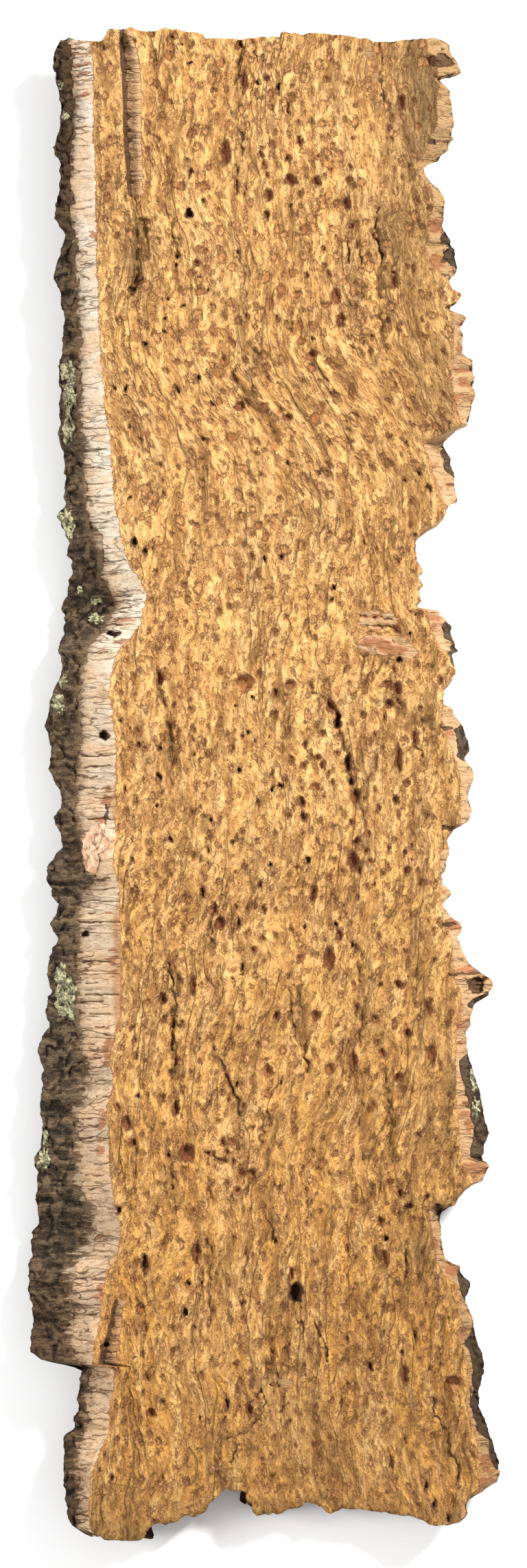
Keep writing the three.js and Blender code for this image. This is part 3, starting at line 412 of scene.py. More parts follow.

# Stains of the inner face, dark and a little olive, and painted shade along the torn right edge and the
# bottom end: x, y, width, length px, strength
STAINS_AND_SHADE = [
    (582, 1034, 22, 12, 0.8), (618, 1052, 38, 14, 0.7), (476, 1054, 30, 10, 0.8), (436, 1234, 14, 26, 0.6),
    (254, 1450, 16, 100, 0.55), (437, 1480, 18, 80, 0.5), (657, 1570, 18, 70, 0.7),
    (322, 1850, 36, 66, 0.4), (615, 1830, 24, 110, 0.55), (537, 2084, 20, 14, 0.6),
    (583, 2103, 16, 18, 0.5), (476, 2074, 14, 40, 0.5), (600, 2065, 14, 14, 0.5),
    (228, 1995, 38, 7, 0.7), (200, 375, 22, 110, 0.8), (185, 370, 44, 66, 0.45),
    (580, 350, 80, 100, 0.45), (597, 1742, 14, 26, 0.7), (545, 1337, 14, 6, 1.0),
    (595, 1238, 14, 8, 0.8), (548, 1307, 14, 10, 0.5), (375, 1408, 16, 14, 0.5),
    (356, 1406, 14, 14, 0.5), (567, 1480, 9, 9, 0.5), (351, 470, 18, 110, 0.5),
    (376, 535, 16, 60, 0.5), (512, 440, 18, 110, 0.4), (215, 2200, 150, 70, 0.35),
    (424, 998, 18, 18, 0.7), (245, 1716, 24, 50, 0.5), (184, 372, 40, 62, 0.6),
    (200, 410, 22, 40, 0.7), (425, 2130, 320, 250, 0.3), (560, 2100, 200, 260, 0.25),
    (622, 150, 90, 330, 0.85), (595, 290, 90, 190, 0.35), (560, 60, 130, 130, 0.25),
    (590, 120, 80, 190, 0.5), (606, 345, 100, 200, 0.55), (150, 220, 50, 420, 0.22),
    (640, 560, 70, 170, 0.45), (150, 2230, 60, 44, 0.8), (205, 2232, 70, 40, 0.85),
    (262, 2208, 60, 44, 0.7), (200, 2185, 90, 60, 0.45), (330, 2160, 60, 34, 0.5),
    (400, 2200, 80, 40, 0.65), (455, 2188, 60, 34, 0.55), (525, 2196, 90, 34, 0.6),
    (602, 2204, 80, 36, 0.65), (652, 2212, 50, 36, 0.65), (300, 2190, 50, 40, 0.5),
    (640, 1580, 60, 300, 0.3), (610, 1790, 70, 240, 0.3), (330, 2235, 600, 130, 0.35),
    (520, 2130, 320, 160, 0.25), (180, 2215, 200, 110, 0.35), (545, 1480, 60, 200, 0.18),
    (500, 2020, 180, 240, 0.16),
]

# Patches where the skin of the inner face has come off the pale cork: x, y, width, length px
BARE_PATCHES = [
    (537, 72, 10, 28), (547, 115, 8, 50), (367, 71, 6, 28), (551, 904, 62, 26), (560, 940, 72, 32),
    (594, 951, 26, 22), (415, 2018, 22, 14),
]

# Dark outer bark that shows past the torn right edge: top y, bottom y, width px
RIGHT_BARK = [
    (343, 358, 14), (360, 388, 16), (655, 692, 12), (908, 935, 14), (937, 967, 9), (1060, 1107, 16),
    (1448, 1468, 14), (1540, 1690, 20), (1757, 1775, 6), (1858, 1890, 14), (1945, 2025, 18),
    (2025, 2095, 20), (2100, 2140, 10),
]

# How much brighter a white surface looks under the stage's light than the white of the screen
STAGE_LIGHT = 1.25

# Where the golden skin reaches the right outline: top y, bottom y
SKIN_TO_EDGE = [(406, 456), (737, 886), (950, 1030), (1203, 1238), (1722, 1757), (2166, 2226)]

# Hollows of the torn and cut edges, painted dark as shade: x, y, width, length px, depth mm
EDGE_HOLLOWS = [
    (641, 90, 40, 19, 4.0), (630, 208, 10, 12, 2.0), (651, 380, 20, 12, 2.0), (649, 404, 18, 3, 1.0),
    (657, 706, 22, 3, 1.0), (651, 1062, 24, 6, 2.0), (652, 1206, 20, 9, 2.5), (646, 1254, 12, 4, 1.0),
    (656, 1346, 26, 6, 1.5), (694, 1436, 22, 22, 5.0), (676, 1418, 44, 4, 1.5), (640, 1762, 14, 16, 2.5),
    (691, 2028, 8, 10, 2.5), (645, 73, 8, 5, 1.0), (166, 923, 22, 9, 3.0), (126, 1360, 9, 13, 2.5),
    (154, 1072, 15, 13, 3.0), (156, 1186, 4, 30, 1.0), (150, 1280, 26, 3, 1.0), (688, 700, 10, 6, 1.0),
    (190, 424, 14, 8, 2.0), (153, 1958, 14, 7, 2.0),
]

# Rusty patches of the torn and cut edges: x, y, width, length px
RUSTS = [
    (634, 330, 24, 20), (636, 382, 22, 22), (668, 510, 10, 14), (672, 540, 26, 8), (668, 553, 22, 7),
    (678, 562, 22, 9), (666, 581, 12, 12), (672, 472, 16, 6), (632, 901, 26, 10), (650, 1070, 26, 8),
    (646, 1300, 10, 8), (662, 1347, 22, 16), (688, 1412, 50, 10), (706, 1424, 20, 14), (672, 1492, 16, 14),
    (674, 1520, 16, 6), (673, 1571, 18, 8), (676, 1608, 24, 8), (680, 1622, 22, 10), (682, 1640, 14, 20),
    (678, 1705, 66, 24), (632, 1755, 18, 12), (633, 1810, 10, 20), (660, 1850, 22, 18), (672, 1886, 14, 6),
    (672, 1940, 16, 16), (695, 2005, 16, 20), (708, 2128, 24, 22), (712, 2142, 24, 7), (708, 2154, 22, 6),
    (120, 82, 34, 5), (121, 97, 30, 5), (124, 110, 26, 6), (121, 143, 24, 8), (137, 346, 12, 16),
    (158, 1525, 14, 60), (150, 1628, 14, 34), (147, 1672, 12, 24), (150, 1199, 14, 18), (158, 1160, 12, 40),
    (180, 905, 40, 6), (176, 935, 34, 6), (168, 1000, 10, 40), (160, 1330, 20, 4), (166, 1400, 10, 60),
    (140, 1800, 30, 5), (152, 1880, 16, 30), (172, 120, 14, 8), (168, 62, 22, 12), (546, 936, 46, 16),
    (572, 946, 44, 14), (548, 899, 40, 5), (556, 912, 36, 4),
]

# Crusts of lichen on the outer bark: x, y, width, length px, paleness
LICHENS = [
    (89, 126, 9, 14, 0.4), (95, 170, 14, 15, 0.5), (100, 541, 26, 40, 0.5), (101, 575, 22, 50, 0.6),
    (99, 620, 19, 60, 0.5), (96, 766, 25, 54, 0.5), (116, 860, 8, 15, 1.0), (140, 875, 20, 10, 0.7),
    (140, 901, 23, 16, 0.7), (92, 993, 13, 20, 0.4), (86, 1027, 21, 34, 0.5), (89, 1422, 22, 44, 0.5),
    (98, 1456, 34, 70, 0.55), (66, 1655, 8, 28, 0.4), (65, 1690, 25, 38, 0.5), (692, 1570, 17, 44, 0.7),
    (694, 1614, 14, 36, 0.6),
]

# The torn flake that lies on the cut face, points (x, y)
FLAKES = [
    [
        (126, 1217), (140, 1203), (153, 1200), (156, 1207), (169, 1210), (167, 1230), (163, 1249),
        (146, 1250), (143, 1269), (129, 1279), (123, 1271), (126, 1256), (120, 1236),
    ],
]

# Long dark cracks across the cut face of the left edge, y px
CUT_CRACKS = [
    75, 87, 99, 115, 143, 190, 215, 252, 306, 388, 406, 455, 538, 587, 625, 656, 683, 705, 724, 749,
    763, 819, 836, 862, 869, 877, 886, 893, 901, 912, 952, 963, 1102, 1118, 1131, 1150, 1163, 1180,
    1194, 1284, 1296, 1312, 1330, 1344, 1402, 1416, 1433, 1449, 1462, 1478, 1496, 1522, 1540, 1557,
    1576, 1598, 1619, 1642, 1660, 1675, 1694, 1712, 1733, 1758, 1803, 1822, 1841, 1863, 1880, 1899,
    1915, 1934, 1950, 1967, 2004, 2023, 2046, 2068, 2090, 2110, 2133, 2157, 2180, 2203,
]

# Dark cracks across the far wall of the split, y px
SPLIT_CRACKS = [
    64, 92, 98, 103, 121, 138, 148, 170, 193, 199, 205, 219, 232, 251, 268, 1900, 1912, 1923, 1933,
    1945, 1957, 1966, 1978,
]

PIXELS_X = np.arange(FRAME_WIDTH, dtype=float)[None, :]
PIXELS_Y = np.arange(FRAME_HEIGHT, dtype=float)[:, None]


# Small sums over arrays

def along(line, at):
    """Value read off a given line of (position, value) points."""
    positions, values = zip(*line)
    return np.interp(at, positions, values)


def lerp(first, second, share):
    return first + (second - first) * share


def smooth(share):
    t = np.clip(share, 0.0, 1.0)
    return t * t * (3 - 2 * t)


def scatter(i, j):
    n = np.sin(i * 127.1 + j * 311.7) * 43758.5453
    return n - np.floor(n)


def relief(x, y):
    """Smooth random relief between -1 and 1, one lump per unit."""
    x = np.asarray(x, dtype=float)
    y = np.asarray(y, dtype=float)
    i = np.floor(x).astype(int)
    j = np.floor(y).astype(int)
    s = smooth(x - i)
    t = smooth(y - j)
    first_i = i.min()
    first_j = j.min()
    knots = scatter(np.arange(first_i, i.max() + 2)[None, :], np.arange(first_j, j.max() + 2)[:, None])
    i = i - first_i
    j = j - first_j
    upper = lerp(knots[j, i], knots[j, i + 1], s)
    lower = lerp(knots[j + 1, i], knots[j + 1, i + 1], s)
    return lerp(upper, lower, t) * 2 - 1


def ridges(x, y):
    """Random relief folded up into narrow ridges, between -1 and 1."""
    return 1 - 2 * np.abs(relief(x, y))


def frame_part(left, right, top, bottom):
    """The part of the frame between these pixels."""
    columns = slice(max(int(left), 0), min(int(right) + 2, FRAME_WIDTH))
    rows = slice(max(int(top), 0), min(int(bottom) + 2, FRAME_HEIGHT))
    return rows, columns


def places(part):
    """Positions of the pixels in a part of the frame."""
    rows, columns = part
    return PIXELS_X[:, columns], PIXELS_Y[rows]


def stroke(points, reach, wobble=0.0):
    """The part of the frame near a drawn line, and how far each of its pixels lies from it."""
    xs = [x for x, y in points]
    ys = [y for x, y in points]
    part = frame_part(min(xs) - reach, max(xs) + reach, min(ys) - reach, max(ys) + reach)
    column, row = places(part)
    x = column + wobble * relief(column / 7, row / 7)
    y = row + wobble * relief(column / 7 + 50, row / 7)
    nearest = np.full(x.shape, np.inf)
    for (ax, ay), (bx, by) in zip(points, points[1:]):
        squared = (bx - ax) ** 2 + (by - ay) ** 2
        share = np.clip(((x - ax) * (bx - ax) + (y - ay) * (by - ay)) / squared, 0, 1)
        nearest = np.minimum(nearest, np.hypot(x - lerp(ax, bx, share), y - lerp(ay, by, share)))
    return part, nearest


# Lines that run the length of the slab

def left_edge(y):
    return along(LEFT_OUTLINE, y)


def right_edge(y):
    return along(RIGHT_OUTLINE, y)


def dark_line(y):
    return bark_boundary(y) - along(DARK_STAYS_BACK, y)


def left_arris(y):
    return along(LEFT_ARRIS, y)


def bark_boundary(y):
    return np.clip(along(BARK_BOUNDARY, y), left_edge(y) + 4, left_arris(y) - 4)


def right_arris(y):
    return np.minimum(along(RIGHT_ARRIS, y), right_edge(y) - 3)


def trough_line(y):
    return 400 + 18 * np.sin(y / 420)


def strip_lip(y):
    return left_arris(y) + along(STRIP_LIP, y)


def split_floor(y):
    return left_arris(y) + along(SPLIT_FLOOR, y)


def slab_lip(y):
    return left_arris(y) + along(SLAB_LIP, y)


def bark_at_right(y):
    """Width of the dark bark that shows past the torn right edge, px."""
    steps = []
    for top, bottom, most in RIGHT_BARK:
        steps += [(top - 4, 0), (top + 5, most), (bottom - 5, most), (bottom + 4, 0)]
    return np.minimum(along(steps, y), (right_edge(y) - right_arris(y)) * 0.75)


def ragged(y, seed):
    """Small teeth of a broken edge, px."""
    return 2.4 * (layers(y, 8, seed) - 0.5) + 0.8 * relief(y / 3.7, seed + 20)


def cork_left(y):
    return bark_boundary(y) - 4


def cork_right(y):
    return right_edge(y) - bark_at_right(y) + ragged(y, 3)


# Heights in mm, as in the solid

def inner_height(x, y):
    """Height of the inner face before the split and the edges."""
    trough = trough_line(y)
    leftward = np.maximum(0, (trough - x) / (trough - along(LEFT_CURL_LINE, y)))
    rightward = np.maximum(0, (x - trough) / (along(RIGHT_CURL_LINE, y) - trough))
    curl = LEFT_RISE * leftward ** LEFT_CURL + RIGHT_RISE * rightward ** RIGHT_CURL
    slant = (y - 600) / 9 * smooth(1 - np.abs(y - 610) / 190)
    waves = WAVE_HEIGHT * relief((x - slant) / 52, y / 170)
    lumps = LUMP_HEIGHT * relief(x / 27 + 40, y / 40)
    return MID_THICKNESS + curl + waves + lumps


def arris_height(y):
    return inner_height(left_arris(y), y) + along(STRIP_LIFT, y)


def cut_foot_height(y):
    fall = CUT_SLOPE * PIXEL * (left_arris(y) - bark_boundary(y))
    return arris_height(y) - np.minimum(fall, CUT_DEPTH_MAX) + EDGE_ROUGHNESS * relief(3, y / 22)


def left_edge_height(y):
    fall = BARK_SLOPE * PIXEL * (bark_boundary(y) - left_edge(y))
    return cut_foot_height(y) - 2 - fall + EDGE_ROUGHNESS * relief(9, y / 17)


def right_edge_height(y):
    fall = TORN_SLOPE * PIXEL * (right_edge(y) - right_arris(y))
    depth = np.clip(fall, TORN_DEPTH_MIN, TORN_DEPTH_MAX)
    return inner_height(right_arris(y), y) - depth + EDGE_ROUGHNESS * relief(5, y / 19)


def split_offset(x, y):
    """How far the strip stands above the curl of the slab, and the split beside it below."""
    lift = along(STRIP_LIFT, y)
    depth = SPLIT_SHOWN * along(SPLIT_DEPTH, y)
    lip = strip_lip(y)
    floor = split_floor(y)
    slab = slab_lip(y)
    down = lerp(lift, -depth, smooth((x - lip) / (floor - lip)))
    up = lerp(-depth, 0, smooth((x - floor) / (slab - floor)) ** 0.8)
    return np.where(x < lip, lift, np.where(x < floor, down, np.where(x < slab, up, 0)))


def back_height(x, y, ceiling):
    """Height of the outer side above the floor."""
    trough = trough_line(y)
    leftward = np.maximum(0, (trough - x) / (trough - left_edge(y)))
    rightward = np.maximum(0, (x - trough) / (right_edge(y) - trough))
    curl = BACK_LEFT_RISE * leftward ** BACK_CURL + BACK_RIGHT_RISE * rightward ** BACK_CURL
    fissures = relief(x / 30 + 7, y / 95) + 0.5 * relief(x / 23 + 60, y / 41)
    free = curl + 2.2 + BACK_FISSURE_HEIGHT * (0.5 + 0.5 * fissures)
    across = (x - PHOTO_MIDDLE_X) * PIXEL
    up = (PHOTO_MIDDLE_Y - y) * PIXEL
    share = 1.0
    for foot_x, foot_y, radius in FEET:
        outside = np.hypot(across - foot_x, (up - foot_y) / 1.8) - radius
        share = np.minimum(share, smooth(outside / FOOT_SHOULDER))
    return np.minimum(np.maximum(free, 0.6) * share, ceiling - MOST_THIN), share


# Settings that a user would change

class CorkShape(bpy.types.PropertyGroup):
    strand_height: FloatProperty(
        name="Strand height", description="Height of the strands of the inner face, mm", default=3.8, min=0
    )
    pit_count: IntProperty(
        name="Pits", description="Small pits scattered over the inner face", default=1500, min=0
    )
    fissure_height: FloatProperty(
        name="Fissure height", description="Depth of the fissures of the outer bark, mm", default=2.4, min=0
    )
    crust_thickness: FloatProperty(
        name="Bark thickness", description="Thickness of the dark outer bark, mm", default=6.0, min=3
    )
    seed: IntProperty(name="Seed", description="Start of the random scatter", default=11, min=0)


class CorkFinish(bpy.types.PropertyGroup):
    gold: FloatVectorProperty(
        name="Inner face", description="Golden skin of the inner face", subtype="COLOR", size=3,
        default=(0.77, 0.437, 0.145), min=0, max=1,
    )
    cream: FloatVectorProperty(
        name="Cut cork", description="Pale cork where it is cut or torn", subtype="COLOR", size=3,
        default=(0.74, 0.65, 0.52), min=0, max=1,
    )
    bark: FloatVectorProperty(
        name="Outer bark", description="Weathered outer bark", subtype="COLOR", size=3,
        default=(0.036, 0.024, 0.015), min=0, max=1,
    )
    lichen: FloatVectorProperty(
        name="Lichen", description="Crusts of lichen", subtype="COLOR", size=3,
        default=(0.25, 0.235, 0.135), min=0, max=1,
    )


class CorkStage(bpy.types.PropertyGroup):
    camera_distance: FloatProperty(
        name="Camera distance", description="Height of the camera above the slab", default=6.0,
        subtype="DISTANCE", unit="LENGTH",
    )
    key_power: FloatProperty(
        name="Key light", description="Power of the lamp at the upper right, W", default=388.0, min=0
    )
    side_power: FloatProperty(
        name="Side light", description="Power of the weaker lamp at the left, W", default=119.0, min=0
    )
    fill_strength: FloatProperty(
        name="Fill light", description="Strength of the even light from all round", default=0.62, min=0
    )
    floor_shade: FloatProperty(
        name="Floor", description="Paleness of the floor", default=0.96, min=0, max=1, subtype="FACTOR"
    )


# Drawings over the photograph's frame, one value a pixel

def draw_dent(maps, pit, depth, tone, lean=0.0):
    """Presses one pit into the inner face."""
    x, y, width, length = pit
    half_width = width / 2
    half_length = length / 2
    reach = max(half_width, half_length) * 1.7 + 6
    part = frame_part(x - reach, x + reach, y - reach, y + reach)
    down = maps["wobbly_y"][part] - y
    across = maps["wobbly_x"][part] - x - lean * down
    ratio = np.hypot(across / half_width, down / half_length)
    inside = (1 - ratio) * min(half_width, half_length)
    bowl = 1 - smooth((ratio - 0.45) / 0.65)
    rim = np.exp(-(((ratio - 1.25) / 0.22) ** 2))
    maps["height"][part] += 0.22 * min(depth, 1.5) * rim - depth * bowl
    nearer = inside > maps["pit"][part]
    maps["tone"][part] = np.where(nearer, tone, maps["tone"][part])
    maps["pit"][part] = np.where(nearer, inside, maps["pit"][part])


def scatter_dents(maps, count, rng):
    """Scatters the small pits, clear of the ones listed."""
    placed = 0
    while placed < count:
        x = rng.uniform(140, 690)
        y = rng.uniform(50, 2225)
        column, row = int(x), int(y)
        kind = rng.random()
        size = rng.random()
        tilt = rng.uniform(-0.25, 0.25)
        if maps["face"][row, column] < 6 or maps["pit"][row, column] > -5.5:
            continue
        low = smooth((y - 700) / 500)
        width = lerp(5.0 + 5.0 * size ** 2, 3.4 + 2.8 * size ** 2, low)
        length = width * lerp(1.15, 1.6, low) * (0.8 + 0.5 * rng.random())
        tilt += 0.7 * maps["lean"][row, column]
        flat = lerp(0.62, 0.4, low)
        if kind < flat:
            draw_dent(maps, (x, y, width * 1.25, length * 1.15), 0.8, 0.05 + 0.15 * size, tilt)
        elif kind < 0.96:
            draw_dent(maps, (x, y, width, length), 1.5, 0.22 + 0.25 * size ** 2, tilt)
        else:
            draw_dent(maps, (x, y, width * 0.8, length * 0.8), 2.4, 0.9, tilt)
        placed += 1


def softened(drawing, reach):
    """A drawing with each pixel spread over the square of that reach around it, twice."""
    width = 2 * reach + 1
    for _ in range(2):
        for axis in (0, 1):
            padding = [(reach + 1, reach) if axis == side else (0, 0) for side in (0, 1)]
            total = np.cumsum(np.pad(drawing, padding, mode="edge"), axis=axis)
            ahead = np.take(total, range(width, total.shape[axis]), axis=axis)
            behind = np.take(total, range(0, total.shape[axis] - width), axis=axis)
            drawing = (ahead - behind) / width
    return drawing


def above_ground(drawing, near, far):
    """How far a drawing stands above the ground around it, below 0 in its hollows."""
    return drawing - softened(drawing, near) + 0.5 * (drawing - softened(drawing, far))


def layers(y, height, seed):
    """Steps of random height between layers of torn cork, from 0 to 1."""
    level = y / height + 0.5 * relief(y / (2.7 * height), seed)
    layer = np.floor(level)
    return lerp(scatter(layer - 1, seed), scatter(layer, seed), smooth((level - layer) * 5))


def spot(maps, place, margin=0):
    """The pixels near an uneven spot, and how far out each lies: 0 at its middle, 1 at its rim."""
    x, y, width, length = place
    part = frame_part(x - width, x + width, y - length - margin, y + length + margin)
    across = (maps["wobbly_x"][part] - x) / (width / 2)
    down = (maps["wobbly_y"][part] - y) / (length / 2)
    return part, np.hypot(across, down)


def spread(maps, place, sharpness):
    """Share of an uneven spot on each pixel near it."""
    part, out = spot(maps, place, 4)
    return part, smooth((1 - out) * sharpness + 0.5)


def draw_cut_cracks(maps, rng, left, right, rows, width, depth, tilt):
    """Draws cracks that run across a cut or torn edge, from its outer to its inner line."""
    for row in rows:
        start = float(left(row))
        end = float(right(row))
        room = end - start
        if room < 6:
            continue
        first = start + room * rng.uniform(0, 0.5) * (rng.random() < 0.6)
        last = end - room * rng.uniform(0, 0.6) * (rng.random() < 0.75)
        if last - first < 4:
            continue
        bend = rng.uniform(-2.5, 2.5)
        fall = tilt * (last - first) + rng.uniform(-2, 2)
        points = [(first, row), ((first + last) / 2, row + fall / 2 + bend), (last, row + fall)]
        half_width = width * rng.uniform(0.6, 1.3)
        part, distance = stroke(points, half_width + 5, 1.2)
        inside = half_width - distance
        maps["crack_and_shade"][part] = np.maximum(maps["crack_and_shade"][part], inside)
        groove = 1 - smooth(distance / (half_width + 1.2))
        lip = np.exp(-(((distance - half_width - 2.2) / 1.3) ** 2))
        maps["height"][part] += 0.35 * depth * lip * 0.4 - depth * groove


def golden_area(x, y):
    """How far each pixel lies inside the golden face and inside the far wall of the split, px."""
    wall = np.minimum(x - split_floor(y), slab_lip(y) - x)
    split_open = np.zeros((FRAME_HEIGHT, FRAME_WIDTH), dtype=bool)
    for top, bottom in OPEN_SPLIT:
        split_open |= (y > top) & (y < bottom + 2 * relief(x / 5, 3))
    skin_edge = right_arris(y)
    for top, bottom in SKIN_TO_EDGE:
        reach = smooth((y - top) / 5 + 0.5) * smooth((bottom - y) / 5 + 0.5)
        skin_edge = lerp(skin_edge, right_edge(y) + 3, reach)
    face = np.minimum(x - left_arris(y), skin_edge - x)
    face = np.where(split_open, np.minimum(face, -wall), face)
    return np.clip(face, -FACE_REACH, FACE_REACH), wall, split_open


def fibres(x, y):
    """How the fibres of the golden face run, and the relief that they weave, from about -1 to 1."""
    # They lean to the right between the upper third and the knob
    fan = 0.55 + 0.45 * np.clip((x - 150) / 450, 0, 1)
    lean = smooth((y - 430) / 120) * smooth((800 - y) / 120) * fan
    lean_sum = 110 * smooth((y - 430) / 340) * (1 - smooth((y - 900) / 1100)) * fan
    wander = 11 * relief(x / 150 + 3, y / 130) + 5 * relief(x / 75 + 11, y / 50)
    smooth_x = x - lean_sum + wander
    curled_x = smooth_x + (2.6 * relief(x / 22, y / 20 + 5) + 0.9 * relief(x / 9 + 9, y / 10))
    curled_y = y + (1.4 * relief(x / 18 + 33, y / 22) + 0.5 * relief(x / 8 + 60, y / 10))

    strands = ridges(smooth_x / 27 + 5, y / 120)
    threads = ridges(curled_x / 13 + 31, curled_y / 48 + 9)
    wrinkles = ridges(curled_x / 7.5 + 77, curled_y / 17 + 2)
    crumbs = relief(curled_x / 4.5, curled_y / 8)
    rugged = 0.55 + 0.45 * relief(x / 70 + 8, y / 90)
    folds = ridges((smooth_x + 9 * relief(x / 30, y / 60)) / 46 + 2, y / 190)
    lower_half = smooth((y - 850) / 350)
    weave = 0.36 * strands + 0.26 * threads + (0.22 * wrinkles + 0.13 * crumbs) * rugged
    weave += (0.2 + 0.25 * lower_half) * folds
    return {
        "lean": lean,
        "grain_x": curled_x,
        "grain_y": curled_y,
        "weave": weave,
        "tint": relief(smooth_x / 50 + 4, y / 150) + 0.7 * relief(smooth_x / 18 + 9, y / 85 + 70),
    }


def edge_heights(x, y):
    """Heights of the cut face at the left and of the torn face at the right, as in the solid."""
    boundary = bark_boundary(y)
    cut_share = np.clip((x - boundary) / (left_arris(y) - boundary), -0.6, 1)
    cut = lerp(cut_foot_height(y), arris_height(y), cut_share)
    tear = right_arris(y)
    torn_share = np.clip((x - tear) / (right_edge(y) - tear), 0, 1.3)
    torn = lerp(inner_height(tear, y), right_edge_height(y), torn_share)
    return cut, torn


def draw_ground(strand_height):
    """The drawings as they are before any pit, crack or stain is drawn on them."""
    x = PIXELS_X
    y = PIXELS_Y
    size = (FRAME_HEIGHT, FRAME_WIDTH)
    arris = left_arris(y)
    tear = right_arris(y)
    face, wall, split_open = golden_area(x, y)
    grain = fibres(x, y)

    # The inner face with its bands, its split and its fibres
    solid_face = inner_height(x, y)
    for height, half_width, points in BANDS:
        part, distance = stroke(points, half_width * 1.7)
        solid_face[part] += height * (1 - smooth(distance / (half_width * 1.6)))
    solid_face += split_offset(x, y)
    height = solid_face + strand_height * grain["weave"] * smooth(face / 8)

    # The shelves of the cut face, of the torn face and of the far wall of the split
    cut, torn = edge_heights(x, y)
    shelf = 0.5 * relief(x / 46, y / 5.5) + 0.35 * relief(x / 30 + 9, y / 2.6)
    layer = layers(y + 0.35 * (x - tear) + 3 * relief(x / 15, y / 20), 9, 4)
    torn_shelf = 3.2 * (layer - 0.5) + 0.6 * relief(x / 18, y / 7) + 0.5 * relief(x / 13 + 3, y / 3)
    wall_shelf = 0.5 * relief(x / 30, y / 4.5) + 0.3 * relief(x / 20 + 4, y / 2.2)
    height = np.where(x < arris, cut + shelf * smooth((arris - x) / 4), height)
    height = np.where(x > tear, torn + torn_shelf * smooth((x - tear) / 4), height)
    height += smooth(wall / 3) * split_open * wall_shelf

    return {
        **grain,
        "height": height,
        "solid_top": np.where(x < arris, cut, np.where(x > tear, torn, solid_face)),
        "face": face,
        "split_open": split_open,
        "wobbly_x": x + 2.2 * relief(x / 6, y / 6) + 1.0 * relief(x / 2.7, y / 2.7),
        "wobbly_y": y + 2.2 * relief(x / 6 + 70, y / 6) + 1.0 * relief(x / 2.7 + 70, y / 2.7),
        "pit": np.full(size, FAR_OUTSIDE),
        "tone": np.full(size, 0.3),
        "crack_and_shade": np.full(size, FAR_OUTSIDE),
        "stain_and_shade": np.zeros(size),
        "rust": np.clip(3 * (layer - 0.8), 0, 0.5) * (x > tear),
    }


def draw_pits(maps, count, rng):
    """Presses the pits into the inner face, those of the photograph first."""
    for pit in BLACK_PITS:
        draw_dent(maps, pit, 2.0 + 0.3 * min(pit[2:]), 1.0)
    for x, y, width, length in RED_PITS:
        draw_dent(maps, (x, y, 1.35 * width, 1.3 * length), 1.5 + 0.2 * min(width, length), 0.7)
    for pit in PEACH_SPOTS:
        draw_dent(maps, pit, 1.1, 0.4)
    for pit in BROWN_PITS:
        draw_dent(maps, pit, 1.2 + 0.16 * min(pit[2:]), 0.5)
    scatter_dents(maps, count, rng)


def draw_face_marks(maps):
    """Draws the lumps, the open cracks and the soft creases of the inner face, with painted shade along the
    creases.
    """
    for *place, rise in LUMPS:
        part, share = spread(maps, place, 1.2)
        column, row = places(part)
        maps["height"][part] += rise * share * (0.75 + 0.4 * relief(column / 6, row / 5))

    for half_width, points in FACE_CRACKS:
        part, distance = stroke(points, half_width + 8, 3.5)
        column, row = places(part)
        distance = distance + 1.3 * relief(column / 4, row / 5) + 0.4
        maps["crack_and_shade"][part] = np.maximum(maps["crack_and_shade"][part], half_width * 1.3 - distance)
        maps["height"][part] -= 1.8 * (1 - smooth(distance / (half_width + 2.4)))

    for half_width, depth, points in CREASES:
        part, distance = stroke(points, half_width * 4, 6.0)
        column, row = places(part)
        broken = smooth(0.75 + 0.9 * relief(column / 13, row / 17))
        maps["height"][part] -= 1.1 * depth * broken * (1 - smooth(distance / (half_width * 2.6)))
        # Painted shade along the crease, laid into the stain and shade drawing
        cover = 0.85 * broken * (1 - smooth(distance / (half_width * 2.2)))
        maps["stain_and_shade"][part] = np.maximum(maps["stain_and_shade"][part], cover)


def draw_edge_cracks(maps, rng):
    """Draws the cracks across the cut, torn and split faces, and a painted shadow line at the split's floor.
    """
    small = np.arange(66, 2228, 7.5)
    small = small + rng.uniform(-3, 3, len(small))
    draw_cut_cracks(maps, rng, bark_boundary, left_arris, CUT_CRACKS, 0.8, 1.6, -0.04)
    draw_cut_cracks(maps, rng, bark_boundary, left_arris, small, 0.35, 0.8, -0.04)
    draw_cut_cracks(maps, rng, right_arris, right_edge, small[::2], 0.5, 1.0, 0.05)
    draw_cut_cracks(maps, rng, split_floor, slab_lip, SPLIT_CRACKS, 0.8, 1.0, -0.1)
    # Painted shadow line along the floor of the split, drawn into the crack and shade drawing
    painted_shadow_line = 3.4 + 1.8 * relief(3, PIXELS_Y / 9) - np.abs(PIXELS_X - split_floor(PIXELS_Y) - 1)
    maps["crack_and_shade"] = np.where(maps["split_open"], np.maximum(maps["crack_and_shade"], painted_shadow_line), maps["crack_and_shade"])


def draw_spots(maps):
    """Draws the stains and painted shade, the rust, the hollows of the edges with their painted shade and the
    patches without skin.
    """
    # Real stains, and painted shade along the torn right edge and the bottom end
    for *place, strength in STAINS_AND_SHADE:
        part, out = spot(maps, place)
        maps["stain_and_shade"][part] = np.maximum(maps["stain_and_shade"][part], strength * smooth(1.5 - out))
    # Stains and painted shade both thin out on the crests of the weave and stay in its hollows
    maps["stain_and_shade"] = np.clip(maps["stain_and_shade"] * (1 - 0.4 * maps["weave"]), 0, 1)

    for place in RUSTS:
        part, share = spread(maps, place, 2.0)
        maps["rust"][part] = np.maximum(maps["rust"][part], share)

    for *place, depth in EDGE_HOLLOWS:
        part, share = spread(maps, place, 3.0)
        maps["height"][part] -= depth * share
        # Painted shade in the hollow, drawn into the crack and shade drawing
        maps["crack_and_shade"][part] = np.maximum(maps["crack_and_shade"][part], (share - 0.5) * 5)

    for place in BARE_PATCHES:
        part, out = spot(maps, place)
        inside = (1 - out) * min(place[2:]) / 2
        maps["face"][part] = np.minimum(maps["face"][part], -inside)


